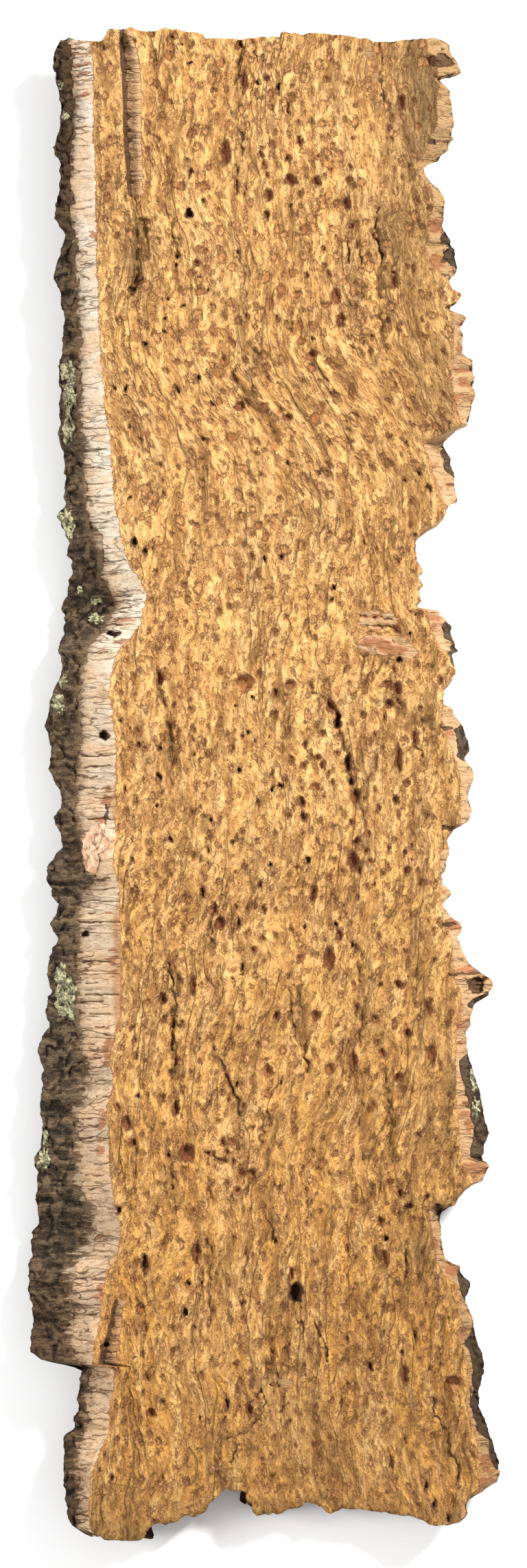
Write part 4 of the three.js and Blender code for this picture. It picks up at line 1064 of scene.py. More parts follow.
def bark_lumps(x, y):
    """Relief of the dark bark at the edges, mm: lumps, ledges across them and narrow fissures."""
    bent_x = x + 6 * relief(x / 17 + 4, y / 19) + 3 * relief(x / 7, y / 8 + 2)
    bent_y = y + 6 * relief(x / 16 + 40, y / 18) + 3 * relief(x / 8 + 3, y / 7)
    ledges = relief(bent_x / 26 + 3, bent_y / 5) + 0.6 * relief(bent_x / 15 + 8, bent_y / 2.6)
    lumps = 1.9 * relief(bent_x / 14 + 2, bent_y / 13) + 1.1 * relief(bent_x / 6 + 8, bent_y / 5)
    lumps += 0.7 * ledges
    from_fissure = np.abs(relief((bent_x + 0.5 * bent_y) / 16 + 3, (bent_y - 0.5 * bent_x) / 17 + 6))
    return lumps - 2.0 * (1 - smooth(from_fissure / 0.16))


def draw_outer_side(maps, shape):
    """Draws the outer side, and the top of the dark bark, which laps round both edges."""
    x = PIXELS_X
    y = PIXELS_Y
    solid_top = maps["solid_top"]
    back, stand = back_height(x, y, solid_top)
    maps["cork_under"] = np.minimum(back + 3.2, solid_top - 4.0)
    plates = ridges(x / 17 + 2 + 0.4 * relief(x / 40, y / 33), y / 46 + 5)
    scales = ridges(x / 8 + 12, y / 15 + 3)
    rough = 0.6 * plates + 0.3 * scales + 0.2 * relief(x / 4, y / 5)
    maps["bark_ridge"] = rough * 1.3
    fissured = back + shape.fissure_height * (rough + 0.4) * stand
    maps["back"] = np.clip(fissured, 0, np.maximum(maps["height"] - 5.0, 0.5))

    # From the left outline over the foot of the cut face, then inside the slab, then out past the tear
    boundary = bark_boundary(y)
    lumps = bark_lumps(x, y)
    bark_share = np.clip((x - left_edge(y)) / (boundary - left_edge(y)), -0.5, 1)
    left_top = lerp(left_edge_height(y), cut_foot_height(y) + 0.5, bark_share) + lumps
    hidden_top = np.minimum(back + shape.crust_thickness, solid_top - 3.0)
    lap = smooth((x - boundary - 3 - 2 * relief(3, y / 6)) / 7)
    crust = lerp(left_top, hidden_top, lap)
    right_top = edge_heights(x, y)[1] - 1.5 + lumps
    bare = smooth((x - cork_right(y) + 8) / 8) * (x > MIDDLE_COLUMN)
    maps["crust"] = lerp(crust, np.maximum(right_top, hidden_top), bare)
    maps["crust_ridge"] = above_ground(maps["crust"], 4, 10)


def draw_maps(shape):
    """Draws heights and finishes of the slab. Each drawing holds one value for each pixel of the frame."""
    rng = np.random.default_rng(shape.seed)
    maps = draw_ground(shape.strand_height)
    draw_pits(maps, shape.pit_count, rng)
    draw_face_marks(maps)
    draw_edge_cracks(maps, rng)
    draw_spots(maps)
    maps["ridge"] = above_ground(maps["height"], 6, 15)
    draw_outer_side(maps, shape)
    return maps


def read_map(drawing, x, y):
    """Value of a drawing at places between its pixels."""
    x = np.clip(x, 0, FRAME_WIDTH - 1.001)
    y = np.clip(y, 0, FRAME_HEIGHT - 1.001)
    i = x.astype(int)
    j = y.astype(int)
    upper = lerp(drawing[j, i], drawing[j, i + 1], x - i)
    lower = lerp(drawing[j + 1, i], drawing[j + 1, i + 1], x - i)
    return lerp(upper, lower, y - j)


# Meshes

def mesh_from(bm, name):
    mesh = bpy.data.meshes.new(name)
    bm.to_mesh(mesh)
    bm.free()
    return mesh


def vertices_of(mesh):
    """Places of the vertices of a mesh, in metres."""
    vertices = np.empty(len(mesh.vertices) * 3)
    mesh.vertices.foreach_get("co", vertices)
    return vertices.reshape(-1, 3)


def in_metres(x, y, z):
    """Places in the shared frame, from places in the photograph and heights in mm."""
    return np.stack([(x - PHOTO_MIDDLE_X) * PIXEL * MM, (PHOTO_MIDDLE_Y - y) * PIXEL * MM, z * MM], axis=-1)


def place_on_slab(columns, stations, across, down, ragged_ends):
    """Photograph positions of grid points: across and down run from 0 to 1 over the slab."""
    level = lerp(PHOTO_TOP, PHOTO_BOTTOM, down)

    rows = np.arange(0, FRAME_HEIGHT, 0.5)
    drawn = np.stack([column(rows) for column in columns])
    index = np.clip(np.searchsorted(stations, across, side="right") - 1, 0, len(columns) - 2)
    share = (across - stations[index]) / (stations[index + 1] - stations[index])

    def across_at(y):
        row = np.clip(np.round(y * 2).astype(int), 0, len(rows) - 1)
        return lerp(drawn[index, row], drawn[index + 1, row], share)

    near_top = 1 - smooth((level - PHOTO_TOP) / END_REACH)
    near_bottom = 1 - smooth((PHOTO_BOTTOM - level) / END_REACH)
    x = across_at(level)
    y = level
    for _ in range(4):
        top = along(TOP_OUTLINE, x) - ragged_ends * ragged(x, 41)
        bottom = along(BOTTOM_OUTLINE, x) + ragged_ends * ragged(x, 47)
        y = level + near_top * (top - PHOTO_TOP) + near_bottom * (bottom - PHOTO_BOTTOM)
        x = across_at(y)
    return x, y


def closed_sheet(name, columns, counts, rows, wall_rings, top_map, under_map, wall_wave):
    """A closed sheet between two drawings: a grid thickened by one, then moved onto them."""
    column_count = sum(counts)
    stations = np.concatenate([[0], np.cumsum(counts)]) / column_count
    bm = bmesh.new()
    bmesh.ops.create_grid(bm, x_segments=column_count, y_segments=rows, size=0.5)
    bmesh.ops.solidify(bm, geom=bm.faces[:], thickness=1.0)
    mesh = mesh_from(bm, name)
    flat = vertices_of(mesh)
    across = np.clip(flat[:, 0] + 0.5, 0, 1)
    down = np.clip(0.5 - flat[:, 1], 0, 1)
    below = np.abs(flat[:, 2]) > 0.5

    # The outer rings of the lower side stand up as the wall
    ring_x = np.minimum(across, 1 - across) * column_count
    ring_y = np.minimum(down, 1 - down) * rows
    ring = np.minimum(ring_x, ring_y)
    wall = np.where(below, (np.minimum(ring, wall_rings) + 1) / (wall_rings + 1), 0)
    margin_x = wall_rings / column_count
    margin_y = wall_rings / rows
    flat_across = np.clip((across - margin_x) / (1 - 2 * margin_x), 0, 1)
    flat_down = np.clip((down - margin_y) / (1 - 2 * margin_y), 0, 1)
    across = np.where(below, flat_across, across)
    down = np.where(below, flat_down, down)
    x, y = place_on_slab(columns, stations, across, down, 1.0)

    top = read_map(top_map, x, y)
    under = np.minimum(read_map(under_map, x, y), top - 1.0)
    z = np.where(below, lerp(top, under, smooth(wall)), top)
    wave = np.where(below & (wall < 1), np.sin(np.pi * wall), 0)
    push = wall_wave * wave * (0.4 + relief(x / 9 + z / 2.2, y / 9 + z / 1.7))
    outward = np.sign(x - (left_edge(y) + right_edge(y)) / 2)
    sideways = (ring_x <= ring_y) | (wall >= 1)
    x = x + np.where(sideways, push * outward, 0)
    y = y + np.where(sideways, 0, push * np.sign(y - PHOTO_MIDDLE_Y))

    mesh.vertices.foreach_set("co", in_metres(x, y, z).ravel())
    mesh.update()
    return mesh


def outline_by_angle(points):
    """Turns a drawn outline into its middle and lines of angle and radius."""
    middle_x = sum(x for x, y in points) / len(points)
    middle_y = sum(y for x, y in points) / len(points)
    around = sorted(
        (math.atan2(y - middle_y, x - middle_x), math.hypot(x - middle_x, y - middle_y)) for x, y in points
    )
    turn = 2 * math.pi
    before = [(around[-1][0] - turn, around[-1][1])]
    after = [(around[0][0] + turn, around[0][1])]
    return middle_x, middle_y, before + around + after


def drawn_crusts(name, outlines, carrier, subdivisions, thickness, grains):
    """Closed lumpy crusts, one for each outline, that lie on the heights of a drawing."""
    bm = bmesh.new()
    for _ in outlines:
        bmesh.ops.create_icosphere(bm, subdivisions=subdivisions, radius=1.0)
    mesh = mesh_from(bm, name)
    balls = vertices_of(mesh).reshape(len(outlines), -1, 3)
    for ball, points in zip(balls, outlines):
        middle_x, middle_y, around = outline_by_angle(points)
        angle = np.arctan2(ball[:, 1], ball[:, 0])
        reach = along(around, angle) * np.clip(np.hypot(ball[:, 0], ball[:, 1]), 0, 1)
        x = middle_x + np.cos(angle) * reach
        y = middle_y + np.sin(angle) * reach
        x = x + 1.6 * relief(x / 5, y / 5 + 3)
        y = y + 1.6 * relief(x / 5 + 30, y / 5)
        x = np.clip(x, left_edge(y) + 0.5, right_edge(y) - 0.5)
        lumps = relief(x / 5.5, y / 5.5) + 0.7 * relief(x / 2.6, y / 2.6 + 8)
        above = np.where(ball[:, 2] > 0, thickness + grains * lumps, 1.4) * ball[:, 2]
        ball[:] = in_metres(x, y, read_map(carrier, x, y) + above)
    mesh.vertices.foreach_set("co", balls.ravel())
    mesh.flip_normals()
    mesh.update()
    return mesh


def add_object(name, mesh):
    piece = bpy.data.objects.new(name, mesh)
    bpy.context.scene.collection.objects.link(piece)
    return piece


def thin_out(piece, triangles):
    """Brings a piece down to a number of triangles, first where it is flat."""
    count = sum(len(p.vertices) - 2 for p in piece.data.polygons)
    thin = piece.modifiers.new("thin_out", "DECIMATE")
    thin.decimate_type = "COLLAPSE"
    thin.use_collapse_triangulate = True
    thin.ratio = min(1.0, triangles / count)
    graph = bpy.context.evaluated_depsgraph_get()
    mesh = bpy.data.meshes.new_from_object(piece.evaluated_get(graph))
    piece.modifiers.clear()
    old = piece.data
    piece.data = mesh
    bpy.data.meshes.remove(old)
    mesh.name = piece.name


def dress(mesh, material):
    """Shades a mesh smoothly, in one material."""
    mesh.polygons.foreach_set("use_smooth", np.ones(len(mesh.polygons), dtype=bool))
    mesh.materials.append(material)


def store(mesh, name, values):
    attribute = mesh.attributes.new(name, "FLOAT", "POINT")
    attribute.data.foreach_set("value", np.asarray(values, dtype=np.float32))


def store_vector(mesh, name, values):
    attribute = mesh.attributes.new(name, "FLOAT_VECTOR", "POINT")
    attribute.data.foreach_set("vector", np.asarray(values, dtype=np.float32).ravel())


def photo_places(mesh):
    """Where each vertex lies in the photograph, and its height in mm."""
    x, y, z = vertices_of(mesh).T / MM
    return x / PIXEL + PHOTO_MIDDLE_X, PHOTO_MIDDLE_Y - y / PIXEL, z


# Node helpers

def join(tree, value, socket):
    """Links a socket, or sets a plain value."""
    if isinstance(value, bpy.types.NodeSocket):
        tree.links.new(value, socket)
    elif value is not None:
        socket.default_value = value


def add_node(tree, kind, inputs=(), **settings):
    node = tree.nodes.new(kind)
    for name, value in settings.items():
        setattr(node, name, value)
    for name, value in dict(inputs).items():
        join(tree, value, node.inputs[name])
    return node


def worked(tree, operation, first, second=None, third=None, clamp=False):
    node = tree.nodes.new("ShaderNodeMath")
    node.operation = operation
    node.use_clamp = clamp
    for value, socket in zip((first, second, third), node.inputs):
        join(tree, value, socket)
    return node.outputs[0]


def blended(tree, share, first, second, blend="MIX"):
    """Mixes two colours."""
    node = tree.nodes.new("ShaderNodeMix")
    node.data_type = "RGBA"
    node.blend_type = blend
    join(tree, share, node.inputs[0])
    join(tree, first, node.inputs[6])
    join(tree, second, node.inputs[7])
    return node.outputs[2]


def coated(tree, colour, coats, blend="MIX"):
    """Lays coats over a colour. Each has a mask, the share of it that shows, and its own colour."""
    for mask, amount, coat in coats:
        colour = blended(tree, worked(tree, "MULTIPLY", mask, amount), colour, coat, blend)
    return colour


def weighed(tree, parts):
    """Adds up values, each times its own weight."""
    (value, weight), *others = parts
    total = worked(tree, "MULTIPLY", value, weight)
    for value, weight in others:
        total = worked(tree, "MULTIPLY_ADD", value, weight, total)
    return total


def stepped(tree, value, low, high):
    """Rises smoothly from 0 to 1 as the value goes from low to high."""
    node = tree.nodes.new("ShaderNodeMapRange")
    node.interpolation_type = "SMOOTHSTEP"
    join(tree, value, node.inputs["Value"])
    join(tree, low, node.inputs["From Min"])
    join(tree, high, node.inputs["From Max"])
    return node.outputs["Result"]


def line_at_zero(tree, value, inner, outer):
    """1 where the value is nearer to 0 than inner, and nothing where it is farther off than outer."""
    away = worked(tree, "ABSOLUTE", value)
    return worked(tree, "SUBTRACT", 1.0, stepped(tree, away, inner, outer))


def parts_of(tree, vector):
    return add_node(tree, "ShaderNodeSeparateXYZ", {"Vector": vector}).outputs


def attribute(tree, name, output="Fac"):
    return add_node(tree, "ShaderNodeAttribute", attribute_name=name).outputs[output]


def stretched(tree, vector, x, y, z):
    node = add_node(tree, "ShaderNodeVectorMath", {0: vector, 1: (x, y, z)}, operation="MULTIPLY")
    return node.outputs[0]


def noise(tree, vector, scale, detail=2.0, roughness=0.5, warp=0.0, flat=True):
    inputs = {
        "Vector": vector, "Scale": scale, "Detail": detail, "Roughness": roughness, "Distortion": warp,
    }
    kind = "2D" if flat else "3D"
    return add_node(tree, "ShaderNodeTexNoise", inputs, noise_dimensions=kind).outputs["Fac"]


def rgb(red, green, blue):
    """A colour given as it looks under the stage's light, 0 to 255, as the shader's own numbers."""
    parts = [part / 255 for part in (red, green, blue)]
    linear = [p / 12.92 if p <= 0.04045 else ((p + 0.055) / 1.055) ** 2.4 for p in parts]
    return (*(p / STAGE_LIGHT for p in linear), 1.0)


def new_group(name, inputs, outputs):
    tree = bpy.data.node_groups.new(name, "ShaderNodeTree")
    for label, kind, default in inputs:
        socket = tree.interface.new_socket(name=label, in_out="INPUT", socket_type=kind)
        socket.default_value = default
    for label, kind in outputs:
        tree.interface.new_socket(name=label, in_out="OUTPUT", socket_type=kind)
    entry = tree.nodes.new("NodeGroupInput")
    leave = tree.nodes.new("NodeGroupOutput")
    return tree, entry.outputs, leave.inputs


def placed(tree, group, **inputs):
    """Places a shared group in a material with its own values."""
    node = tree.nodes.new("ShaderNodeGroup")
    node.node_tree = group
    for name, value in inputs.items():
        join(tree, value, node.inputs[name])
    return node.outputs


FLOAT = "NodeSocketFloat"
VECTOR = "NodeSocketVector"


def crease_group():
    """Rounded blobs with dark creases between them, and breaks in the creases."""
    group = bpy.data.node_groups.get("creased_blobs")
    if group:
        return group
    tree, given, leave = new_group(
        "creased_blobs",
        [
            ("Vector", VECTOR, (0, 0, 0)), ("Scale", FLOAT, 200.0),
            ("Width", FLOAT, 0.05), ("Warp", FLOAT, 0.5),
        ],
        [("Creases", FLOAT), ("Blobs", FLOAT)],
    )
    field = noise(tree, given["Vector"], given["Scale"], 1.5, 0.6, given["Warp"], flat=False)
    away = worked(tree, "ABSOLUTE", worked(tree, "SUBTRACT", field, 0.5))
    creases = worked(tree, "SUBTRACT", 1.0, stepped(tree, away, 0.0, given["Width"]))
    gaps = noise(tree, given["Vector"], worked(tree, "MULTIPLY", given["Scale"], 0.45), 1.0)
    kept = stepped(tree, gaps, 0.4, 0.6)
    tree.links.new(worked(tree, "MULTIPLY", creases, kept), leave["Creases"])
    tree.links.new(stepped(tree, away, 0.0, 0.2), leave["Blobs"])
    return tree


def cell_group():
    """Uneven cells, of which a share are sunk as small pits with broken rims."""
    group = bpy.data.node_groups.get("pitted_cells")
    if group:
        return group
    tree, given, leave = new_group(
        "pitted_cells",
        [("Vector", VECTOR, (0, 0, 0)), ("Scale", FLOAT, 220.0), ("Share", FLOAT, 0.3)],
        [("Pits", FLOAT), ("Rims", FLOAT), ("Shade", FLOAT)],
    )
    bend_scale = worked(tree, "MULTIPLY", given["Scale"], 1.3)
    inputs = {"Vector": given["Vector"], "Scale": bend_scale, "Detail": 2.0}
    bend = add_node(tree, "ShaderNodeTexNoise", inputs, noise_dimensions="2D")
    inputs = {0: bend.outputs["Color"], 1: (0.5, 0.5, 0.5)}
    bend = add_node(tree, "ShaderNodeVectorMath", inputs, operation="SUBTRACT")
    inputs = {0: bend.outputs[0], "Scale": worked(tree, "DIVIDE", 1.1, given["Scale"])}
    bend = add_node(tree, "ShaderNodeVectorMath", inputs, operation="SCALE")
    bent = add_node(tree, "ShaderNodeVectorMath", {0: given["Vector"], 1: bend.outputs[0]}, operation="ADD")
    inputs = {"Vector": bent.outputs[0], "Scale": given["Scale"], "Randomness": 0.9}
    cells = add_node(tree, "ShaderNodeTexVoronoi", inputs, feature="F1", voronoi_dimensions="2D")
    borders = add_node(
        tree, "ShaderNodeTexVoronoi", inputs, feature="DISTANCE_TO_EDGE", voronoi_dimensions="2D"
    ).outputs["Distance"]
    parts = add_node(tree, "ShaderNodeSeparateColor", {"Color": cells.outputs["Color"]})
    gaps = noise(tree, given["Vector"], worked(tree, "MULTIPLY", given["Scale"], 0.9), 2.0, 0.6)
    chosen = worked(tree, "LESS_THAN", parts.outputs[0], given["Share"])
    inset = worked(tree, "MULTIPLY_ADD", parts.outputs[1], 0.14, 0.04)
    depth = worked(tree, "SUBTRACT", borders, inset)
    pits = stepped(tree, depth, 0.0, 0.07)
    rims = line_at_zero(tree, depth, 0.01, 0.08)
    rims = worked(tree, "MULTIPLY", rims, stepped(tree, gaps, 0.42, 0.55))
    tree.links.new(worked(tree, "MULTIPLY", pits, chosen), leave["Pits"])
    tree.links.new(worked(tree, "MULTIPLY", rims, chosen), leave["Rims"])
    tree.links.new(parts.outputs[2], leave["Shade"])
    return tree


def finish_shader(tree, shader, colour, roughness, height, strength, distance):
    """Gives a shader its colour, its roughness and the small relief of a height."""
    tree.links.new(colour, shader.inputs["Base Color"])
    join(tree, roughness, shader.inputs["Roughness"])
    bump = add_node(tree, "ShaderNodeBump", {"Height": height, "Strength": strength, "Distance": distance})
    tree.links.new(bump.outputs[0], shader.inputs["Normal"])


def new_material(name):
    material = bpy.data.materials.new(name)
    material.use_nodes = True
    tree = material.node_tree
    tree.nodes.clear()
    shader = tree.nodes.new("ShaderNodeBsdfPrincipled")
    output = tree.nodes.new("ShaderNodeOutputMaterial")
    tree.links.new(shader.outputs[0], output.inputs["Surface"])
    return material, tree, shader


def skin_marks(tree, grain):
    """The fine marks of the golden skin. The smaller a mark's stretch, the longer it runs along the grain."""
    def creases(stretch, scale, width, warp):
        vector = stretched(tree, grain, 1.0, stretch, 1.0)
        return placed(tree, crease_group(), Vector=vector, Scale=scale, Width=width, Warp=warp)

    # The sunk cells lie in bands along the grain, closer together in the lower part
    upper_part = stepped(tree, parts_of(tree, grain)["Y"], -0.95, -0.42)
    banded = noise(tree, stretched(tree, grain, 1.0, 0.16, 1.0), 75.0, 2.0, 0.5)
    share = worked(tree, "MULTIPLY_ADD", stepped(tree, banded, 0.4, 0.6), 0.28, 0.14)
    share = worked(tree, "MULTIPLY_ADD", upper_part, -0.06, share)
    long_grain = stretched(tree, grain, 1.0, 0.52, 1.0)
    return {
        "upper_part": upper_part,
        "strands": creases(0.24, 120.0, 0.1, 0.35),
        "large": creases(0.52, 170.0, 0.1, 0.4),
        "small": creases(0.52, 360.0, 0.16, 0.5),
        "long_lines": creases(0.16, 75.0, 0.035, 0.5),
        "threads": creases(0.13, 150.0, 0.05, 0.5),
        "cells": placed(tree, cell_group(), Vector=long_grain, Scale=400.0, Share=share),
        "crumbs": placed(tree, cell_group(), Vector=long_grain, Scale=640.0, Share=0.2),
        "soft": noise(tree, stretched(tree, grain, 1.0, 0.32, 1.0), 240.0, 3.0, 0.65, 0.3),
        "middle": noise(tree, long_grain, 90.0, 2.0, 0.6, 0.5),
        "fine": noise(tree, grain, 800.0, 2.0, 0.7),
    }


def golden_skin(tree, finish, drawn, marks):
    """Golden skin, with a painted highlight on its crests and painted shade in its hollows, with its creases,
    cells, stains and painted shade.
    """
    bumps = worked(tree, "SUBTRACT", marks["middle"], 0.5)
    bumps = worked(tree, "MULTIPLY_ADD", bumps, 1.6, drawn["ridge"])
    skin = blended(tree, marks["upper_part"], rgb(216, 157, 70), (*finish.gold, 1.0))
    skin = coated(tree, skin, [
        (stepped(tree, drawn["tint"], 0.0, 1.1), 0.42, rgb(184, 130, 68)),
        (stepped(tree, drawn["tint"], -0.1, -1.0), 0.5, rgb(236, 192, 128)),
        # Painted shade in the hollows of the relief and a painted highlight on its crests, both broken up by
        # noise
        (stepped(tree, bumps, -0.1, -1.3), 0.5, rgb(156, 108, 58)),
        (stepped(tree, bumps, 0.0, 0.8), 0.25, rgb(240, 200, 140)),
        (stepped(tree, marks["soft"], 0.56, 0.3), 0.55, rgb(184, 128, 70)),
        (stepped(tree, marks["soft"], 0.55, 0.75), 0.3, rgb(240, 200, 138)),
        (stepped(tree, marks["fine"], 0.42, 0.72), 0.35, rgb(190, 130, 70)),
    ])
    cell_floor = blended(tree, marks["cells"]["Shade"], rgb(206, 144, 84), rgb(124, 76, 40))
    return coated(tree, skin, [
        # The dark creases lie where the blobs of the bump dip: painted shade in the creases. The pale threads
        # are painted highlights.
        (marks["strands"]["Creases"], 0.6, rgb(128, 88, 46)),
        (marks["large"]["Creases"], 0.4, rgb(130, 88, 46)),
        (marks["small"]["Creases"], 0.55, rgb(142, 90, 44)),
        (marks["long_lines"]["Creases"], 0.65, rgb(112, 78, 42)),
        (marks["threads"]["Creases"], 0.35, rgb(242, 202, 140)),
        (marks["cells"]["Pits"], 0.6, cell_floor),
        (marks["crumbs"]["Pits"], 0.5, rgb(124, 80, 42)),
        # Dark broken rims of the sunk cells: painted shade at their walls
        (marks["cells"]["Rims"], 0.75, rgb(96, 62, 32)),
        # Stains, with painted shade by the torn edge, the bottom end and along the creases
        (drawn["stain_and_shade"], 0.85, rgb(104, 78, 46)),
    ])


def pitted(tree, skin, drawn, marks):
    """The skin with its drawn pits, from flat peach spots to deep holes whose near-black fill is painted
    shade, with broken dark outlines of painted shade.
    """
    tone = drawn["tone"]
    uneven = weighed(tree, [(marks["fine"], 1.6), (marks["small"]["Blobs"], 2.6)])
    pit_edge = worked(tree, "ADD", worked(tree, "SUBTRACT", drawn["pit"], 1.2), uneven)
    # Broken dark outline round each pit: painted shade at its rim
    outline = line_at_zero(tree, pit_edge, 0.3, 2.6)
    outline = worked(tree, "MULTIPLY", outline, stepped(tree, marks["middle"], 0.25, 0.5))
    fill = blended(tree, stepped(tree, tone, 0.05, 0.4), rgb(226, 164, 104), rgb(176, 114, 64))
    fill = blended(tree, stepped(tree, tone, 0.5, 0.75), fill, rgb(134, 76, 46))
    # Near-black fill of the deepest pits: painted shade in the holes
    fill = blended(tree, stepped(tree, tone, 0.78, 1.0), fill, rgb(44, 26, 18))
    fill = coated(tree, fill, [(stepped(tree, marks["fine"], 0.42, 0.72), 0.5, rgb(122, 74, 40))])
    cover = worked(tree, "MULTIPLY_ADD", stepped(tree, tone, 0.2, 0.6), 0.35, 0.6)
    return coated(tree, skin, [
        (stepped(tree, pit_edge, -0.3, 0.5), cover, fill),
        (outline, 0.75, rgb(100, 60, 30)),
    ])


def edge_marks(tree, foot):
    """Streaks across an edge of the slab, and the uneven line where dark bark meets pale cork there."""
    place = add_node(tree, "ShaderNodeTexCoord").outputs["Object"]
    streak = noise(tree, stretched(tree, place, 0.12, 1.0, 0.5), 300.0, 3.0, 0.7, flat=False)
    broad = noise(tree, stretched(tree, place, 0.45, 1.0, 0.6), 60.0, 3.0, 0.6, flat=False)
    level = parts_of(tree, place)["Y"]
    worn = stepped(tree, level, 0.2, -0.5)
    reach = worked(tree, "MULTIPLY_ADD", worn, 60.0, 45.0)
    uneven_foot = worked(tree, "MULTIPLY_ADD", worked(tree, "SUBTRACT", streak, 0.5), reach, foot)
    uneven_foot = worked(tree, "MULTIPLY_ADD", worked(tree, "SUBTRACT", broad, 0.5), 30.0, uneven_foot)
    return {
        "place": place, "streak": streak, "broad": broad, "level": level, "worn": worn, "foot": uneven_foot,
    }


def pale_cork(tree, finish, drawn, edge, seams):
    """Pale cut or torn cork, with fine dark lines across the edge, dark streaks at its foot, painted shade in
    its hollows and, on the torn side, painted shade towards both ends.
    """
    foot = drawn["foot"]
    rust = drawn["rust"]
    streak = edge["streak"]
    worn = edge["worn"]
    broad = edge["broad"]
    flesh = blended(tree, stepped(tree, broad, 0.35, 0.65), (*finish.cream, 1.0), rgb(238, 204, 166))
    worn_cover = worked(tree, "MULTIPLY", worn, stepped(tree, broad, 0.62, 0.4))
    flesh = coated(tree, flesh, [
        (stepped(tree, streak, 0.48, 0.72), 0.5, rgb(208, 166, 124)),
        # Painted shade in the hollows of the cut face
        (stepped(tree, drawn["ridge"], -0.2, -1.2), 0.5, rgb(150, 116, 84)),
        (worn_cover, 0.75, rgb(188, 154, 118)),
        (stepped(tree, foot, 48.0, 56.0), 0.85, rgb(198, 154, 106)),
    ])
    torn_side = stepped(tree, parts_of(tree, drawn["grain"])["X"], 0.15, 0.2)
    cut_side = worked(tree, "SUBTRACT", 1.0, torn_side)
    tan = [(stepped(tree, edge["level"], 0.16, -0.02), cut_side, (0.87, 0.8, 0.72, 1.0))]
    flesh = coated(tree, flesh, tan, "MULTIPLY")

    rusty = worked(tree, "MULTIPLY_ADD", worked(tree, "SUBTRACT", streak, 0.5), 1.6, rust)
    rusty = worked(tree, "MULTIPLY", stepped(tree, rusty, 0.3, 0.7), stepped(tree, rust, 0.0, 0.2))
    lower = worked(tree, "SUBTRACT", 1.0, stepped(tree, foot, 4.0, 44.0))
    brown_streak = worked(tree, "MULTIPLY", stepped(tree, streak, 0.5, 0.62), worn)
    seam_share = worked(tree, "MULTIPLY_ADD", worn, 0.5, worked(tree, "MULTIPLY_ADD", lower, 0.6, 0.05))
    flesh = coated(tree, flesh, [
        (rusty, 0.8, rgb(172, 108, 68)),
        (brown_streak, 0.55, rgb(146, 110, 78)),
        (seams, seam_share, rgb(84, 60, 42)),
        (stepped(tree, edge["foot"], 16.0, -4.0), 0.7, rgb(146, 112, 80)),
        (stepped(tree, edge["foot"], 4.0, -8.0), 0.85, rgb(80, 58, 38)),
    ])
    # Painted shade on the torn side, darker towards both ends
    near_end = stepped(tree, worked(tree, "ABSOLUTE", edge["level"]), 0.15, 0.4)
    flesh = coated(tree, flesh, [(torn_side, near_end, (0.72, 0.7, 0.6, 1.0))], "MULTIPLY")
    return blended(tree, torn_side, flesh, (0.97, 0.96, 0.93, 1.0), "MULTIPLY")


def cork_material(finish):
    """Golden pitted skin, and pale cork where it is cut or torn."""
    material, tree, shader = new_material("cork")
    drawn = {name: attribute(tree, name) for name in CORK_DRAWINGS}
    drawn["grain"] = attribute(tree, "grain", "Vector")
    marks = skin_marks(tree, drawn["grain"])
    edge = edge_marks(tree, drawn["foot"])
    across = stretched(tree, edge["place"], 0.05, 1.0, 0.3)
    seams = placed(tree, crease_group(), Vector=across, Scale=200.0, Width=0.035, Warp=0.0)["Creases"]
    skin = pitted(tree, golden_skin(tree, finish, drawn, marks), drawn, marks)
    flesh = pale_cork(tree, finish, drawn, edge, seams)

    # The uneven border of the skin with its brown rim, and the open cracks with the painted shade of the edge
    # hollows and the painted shadow line of the split
    border = worked(tree, "SUBTRACT", drawn["face"], 9.0)
    border = worked(tree, "MULTIPLY_ADD", marks["middle"], 6.0, border)
    border = worked(tree, "MULTIPLY_ADD", edge["streak"], 12.0, border)
    on_face = stepped(tree, border, -0.6, 0.6)
    cracks_and_shade = worked(tree, "SUBTRACT", drawn["crack_and_shade"], 0.5)
    cracks_and_shade = worked(tree, "MULTIPLY_ADD", marks["fine"], 1.0, cracks_and_shade)
    colour = coated(tree, blended(tree, on_face, flesh, skin), [
        (line_at_zero(tree, border, 0.0, 2.5), 0.35, rgb(176, 104, 58)),
        (stepped(tree, cracks_and_shade, -0.7, 0.5), 0.85, rgb(76, 48, 28)),
    ])

    # Relief too fine for the mesh: of the skin, and of the ledges of the pale cork
    rough = weighed(tree, [
        (marks["small"]["Blobs"], 0.35), (marks["large"]["Blobs"], 0.3), (marks["strands"]["Blobs"], 0.5),
        (marks["soft"], 2.4), (marks["long_lines"]["Creases"], -0.9), (marks["cells"]["Pits"], -1.1),
        (marks["crumbs"]["Pits"], -0.6),
    ])
    ledges = weighed(tree, [(edge["streak"], 2.4), (seams, -0.8)])
    height = worked(tree, "MULTIPLY_ADD", worked(tree, "SUBTRACT", rough, ledges), on_face, ledges)
    height = worked(tree, "MULTIPLY_ADD", marks["fine"], 0.35, height)
    shader.inputs["Specular IOR Level"].default_value = 0.25
    roughness = worked(tree, "MULTIPLY_ADD", marks["fine"], 0.2, 0.72)
    finish_shader(tree, shader, colour, roughness, height, 1.0, 0.0014)
    return material


